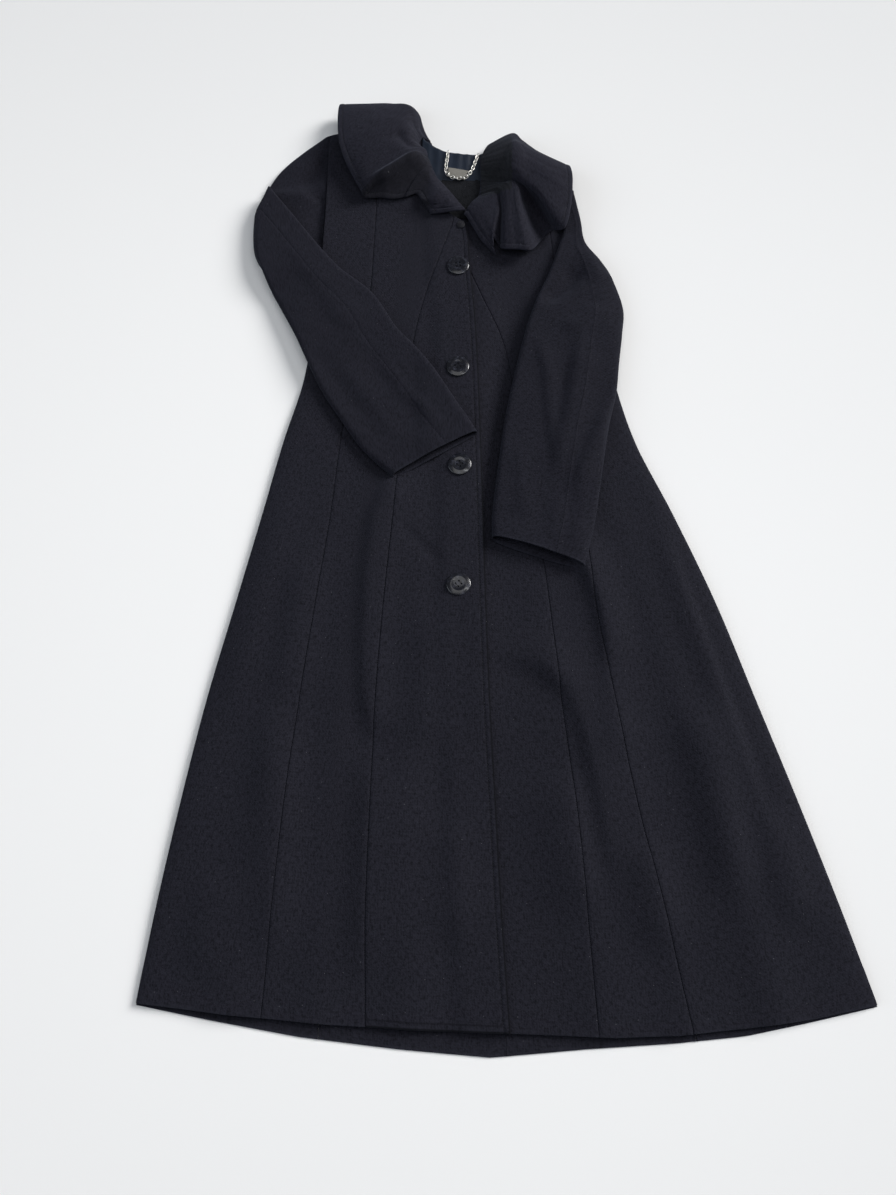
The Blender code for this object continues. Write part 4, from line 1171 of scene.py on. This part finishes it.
stitched_edge("front_edge_stitching", "right_front_centre", 2.2, 0, True, slice(6, -24))
stitched_edge("right_ruffle_stitching", "collar_ruffle_right", DOUBLED, 1, True, both=True)
stitched_edge("left_ruffle_stitching", "collar_ruffle_left", DOUBLED, 1, True, both=True)

ob, grid, nrm = made["neck_label"]
tacks = []
for end in (False, True):
    pts, ups = line_inside(grid, nrm, 0.6, 1.6, 0, end, 0.0)
    tacks.append(stitches("label_tack", pts, ups, PALE_THREAD, 1.9, (0.75, 0.22, 0.2)))
settle(joined("label_stitching", tacks), None)


# ------------------------------------------------------------------ buttons
PROFILE = ((0.0, 2.85), (3.0, 2.86), (5.4, 2.94), (7.0, 3.16), (8.2, 3.42), (9.2, 3.58), (10.0, 3.56),
           (11.2, 3.26), (12.4, 2.88), (13.6, 2.46), (14.5, 2.08), (14.95, 1.72), (15.0, 1.40), (14.7, 0.90),
           (14.0, 0.50), (12.6, 0.22), (7.0, 0.10), (0.0, 0.10))


def button(name, node, at, tilt):
    """A dished four-hole button: a turned body cut by four round holes."""
    lo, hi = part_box(node)
    cx, cy, base = (lo[0] + hi[0]) / 2, (lo[1] + hi[1]) / 2, lo[2]
    steps = 72
    pr = cubic(np.linspace(0, 1, len(PROFILE)), PROFILE, np.linspace(0, 1, 60))
    verts, faces = [], []
    for r, z in pr:
        for k in range(steps):
            a = math.tau * k / steps
            verts.append((max(r, 0.001) * math.cos(a) * MM, max(r, 0.001) * math.sin(a) * MM, z * MM))
    for i in range(len(pr) - 1):
        for k in range(steps):
            m = (k + 1) % steps
            faces.append((i * steps + k, (i + 1) * steps + k, (i + 1) * steps + m, i * steps + m))
    faces.append(tuple(range(steps)))
    faces.append(tuple((len(pr) - 1) * steps + k for k in range(steps))[::-1])
    ob = mesh_of(name, verts, faces, RESIN)
    bm = bmesh.new()
    bm.from_mesh(ob.data)
    bmesh.ops.remove_doubles(bm, verts=bm.verts, dist=0.00001)
    bmesh.ops.recalc_face_normals(bm, faces=bm.faces)
    bm.to_mesh(ob.data)
    bm.free()
    cut_mesh = bpy.data.meshes.new(name + "_cut")
    bm = bmesh.new()
    for sx in (-1, 1):
        for sy in (-1, 1):
            ring = bmesh.ops.create_cone(bm, cap_ends=True, segments=24, radius1=1.15 * MM, radius2=1.15 * MM,
                                         depth=12 * MM)["verts"]
            bmesh.ops.translate(bm, verts=ring, vec=(sx * HOLE_OFFSET * MM, sy * HOLE_OFFSET * MM, 2 * MM))
    bm.to_mesh(cut_mesh)
    bm.free()
    cutter = bpy.data.objects.new(name + "_cut", cut_mesh)
    scene.collection.objects.link(cutter)
    m = ob.modifiers.new("holes", "BOOLEAN")
    m.operation, m.solver, m.object = "DIFFERENCE", "EXACT", cutter
    graph = bpy.context.evaluated_depsgraph_get()
    mesh = bpy.data.meshes.new_from_object(ob.evaluated_get(graph))
    ob.modifiers.clear()
    old, ob.data = ob.data, mesh
    bpy.data.meshes.remove(old)
    bpy.data.objects.remove(cutter, do_unlink=True)
    turn, lean_x, lean_y = tilt
    co, si = math.cos(turn), math.sin(turn)
    for vert in ob.data.vertices:
        x, y, z = vert.co
        x, y = x * co - y * si, x * si + y * co
        vert.co = (cx + x, cy + y, base + z)
    ob.data.shade_smooth()
    ob.data.set_sharp_from_angle(angle=math.radians(42))
    settle(ob, node)
    # the sewing thread: a bar between each pair of holes, a wound shank below
    bars = []
    hole = HOLE_OFFSET
    for ax, ay, bx, by in ((-hole, -hole, -hole, hole), (hole, -hole, hole, hole)):
        path = []
        for t in np.linspace(0, 1, 15):
            x, y = ax + (bx - ax) * t, ay + (by - ay) * t
            x, y = x * co - y * si, x * si + y * co
            dip = -2.2 * max(0.0, 1 - 10 * min(t, 1 - t)) ** 1.4
            path.append((cx / MM - SHIFT[0] + x, cy / MM - SHIFT[1] + y, base / MM + 3.05 + dip))
        bars.append(tube(name + "_bar", path, 0.34, THREAD, 8))
    shank = [(cx / MM - SHIFT[0], cy / MM - SHIFT[1], base / MM + z) for z in (-0.9, -0.4, 0.0, 0.3)]
    bars.append(tube(name + "_shank", shank, (2.6, 2.0, 1.9, 2.2), THREAD, 16))
    sew = settle(joined(name + "_thread", bars), None)
    return ob, sew


for k, tilt in enumerate(((0.25, 0, 0), (0.62, 0, 0), (0.95, 0, 0), (0.70, 0, 0)), 1):
    button("button_%d_resin" % k, "button_%d" % k, BUTTONS[k - 1], tilt)

# the covered snap at the neck
lo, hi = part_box("neck_snap")
sx, sy, sz = (lo[0] + hi[0]) / 2, (lo[1] + hi[1]) / 2, lo[2]
pr = cubic(np.linspace(0, 1, 8), ((0.0, 2.35), (1.2, 2.5), (2.2, 2.2), (3.2, 1.9), (4.6, 1.5), (5.7, 0.9), (5.6, 0.25), (0.0, 0.1)),
           np.linspace(0, 1, 28))
verts = [(sx + max(r, 0.001) * math.cos(math.tau * k / 48) * MM, sy + max(r, 0.001) * math.sin(math.tau * k / 48) * MM,
          sz + z * MM) for r, z in pr for k in range(48)]
faces = [(i * 48 + k, (i + 1) * 48 + k, (i + 1) * 48 + (k + 1) % 48, i * 48 + (k + 1) % 48)
         for i in range(len(pr) - 1) for k in range(48)]
faces += [tuple(range(48)), tuple((len(pr) - 1) * 48 + k for k in range(48))[::-1]]
settle(mesh_of("neck_snap_cover", verts, faces, COVER), "neck_snap")

# -------------------------------------------------------------------- chain
LINK = (6.8, 4.5, 0.52)          # length and width between wire centres, wire radius
route = cubic(np.linspace(0, 1, len(CHAIN)), CHAIN, np.linspace(0, 1, 200))
run = np.concatenate([[0], np.cumsum(np.linalg.norm(np.diff(route, axis=0), axis=1))])
count = int(run[-1] / 4.8)
links = []
for k in range(count + 1):
    s = run[-1] * k / count
    c = np.array([np.interp(s, run, route[:, a]) for a in range(3)])
    t = np.array([np.interp(s + 1, run, route[:, a]) - np.interp(s - 1, run, route[:, a]) for a in range(3)])
    t /= np.linalg.norm(t)
    flat_way = np.cross(t, (0, 0, 1.0))
    flat_way /= np.linalg.norm(flat_way)
    up_way = np.cross(flat_way, t)
    lean = math.radians(38 if k % 2 else -42)
    w = flat_way * math.cos(lean) + up_way * math.sin(lean)
    loop = []
    for a in np.linspace(0, math.tau, 20, endpoint=False):
        loop.append(c + t * LINK[0] * 0.5 * math.cos(a) * (1.0 + 0.10 * abs(math.sin(a)))
                    + w * (LINK[1] * 0.5) * math.sin(a) + up_way * 0.25)
    links.append(tube("link", loop, LINK[2], METAL, 8, closed=True))
chain = settle(joined("hanger_chain_links", links), "hanger_chain")
for ob in (chain,):
    ob.data.shade_smooth()

# -------------------------------------------------------- floor and lighting
floor = bpy.data.meshes.new("floor")
floor.from_pydata([(-6, -6, -0.0003), (6, -6, -0.0003), (6, 6, -0.0003), (-6, 6, -0.0003)], [], [(0, 1, 2, 3)])
floor.materials.append(paper_floor("pale_floor"))
floor = bpy.data.objects.new("floor", floor)
scene.collection.objects.link(floor)


def lamp(name, at, aim, size, power, colour):
    light = bpy.data.lights.new(name, "AREA")
    light.shape = "RECTANGLE"
    light.size, light.size_y = size
    light.energy = power
    light.color = colour
    ob = bpy.data.objects.new(name, light)
    ob.location = at
    way = np.asarray(aim, float) - np.asarray(at, float)
    yaw = math.atan2(way[0], -way[1])
    pitch = math.atan2(math.hypot(way[0], way[1]), -way[2])
    ob.rotation_euler = (pitch, 0.0, yaw + math.pi)
    ob.visible_camera = False
    scene.collection.objects.link(ob)
    return ob


def far_light(name, height, side, strength, width, colour):
    """A distant soft light: its height and side in degrees, the side from +X towards the neck."""
    light = bpy.data.lights.new(name, "SUN")
    light.energy = strength
    light.angle = math.radians(width)
    light.color = colour
    ob = bpy.data.objects.new(name, light)
    ob.rotation_euler = (0.0, math.radians(90 - height), math.radians(side))
    scene.collection.objects.link(ob)


far_light("key", 27.0, 28.0, 3.90, 26.0, (1.0, 0.99, 0.98))
far_light("side", 24.0, 196.0, 0.95, 50.0, (0.80, 0.89, 1.0))
lamp("strip", (1.14, -0.08, 2.29), (-0.06, 0.0, 0.0), (0.30, 1.0), 6.6, (0.96, 0.98, 1.0))
lamp("fill", (-0.14, -0.08, 1.35), (-0.14, -0.08, 0.0), (1.0, 1.0), 4.6, (0.99, 0.995, 1.0))
world = bpy.data.worlds.new("studio")
world.use_nodes = True
world.node_tree.nodes["Background"].inputs["Color"].default_value = (*SKY, 1.0)
world.node_tree.nodes["Background"].inputs["Strength"].default_value = 0.12
scene.world = world
scene.view_settings.view_transform = "Standard"
scene.view_settings.look = "None"
scene.view_settings.exposure = 0.0
scene.view_settings.gamma = 1.0
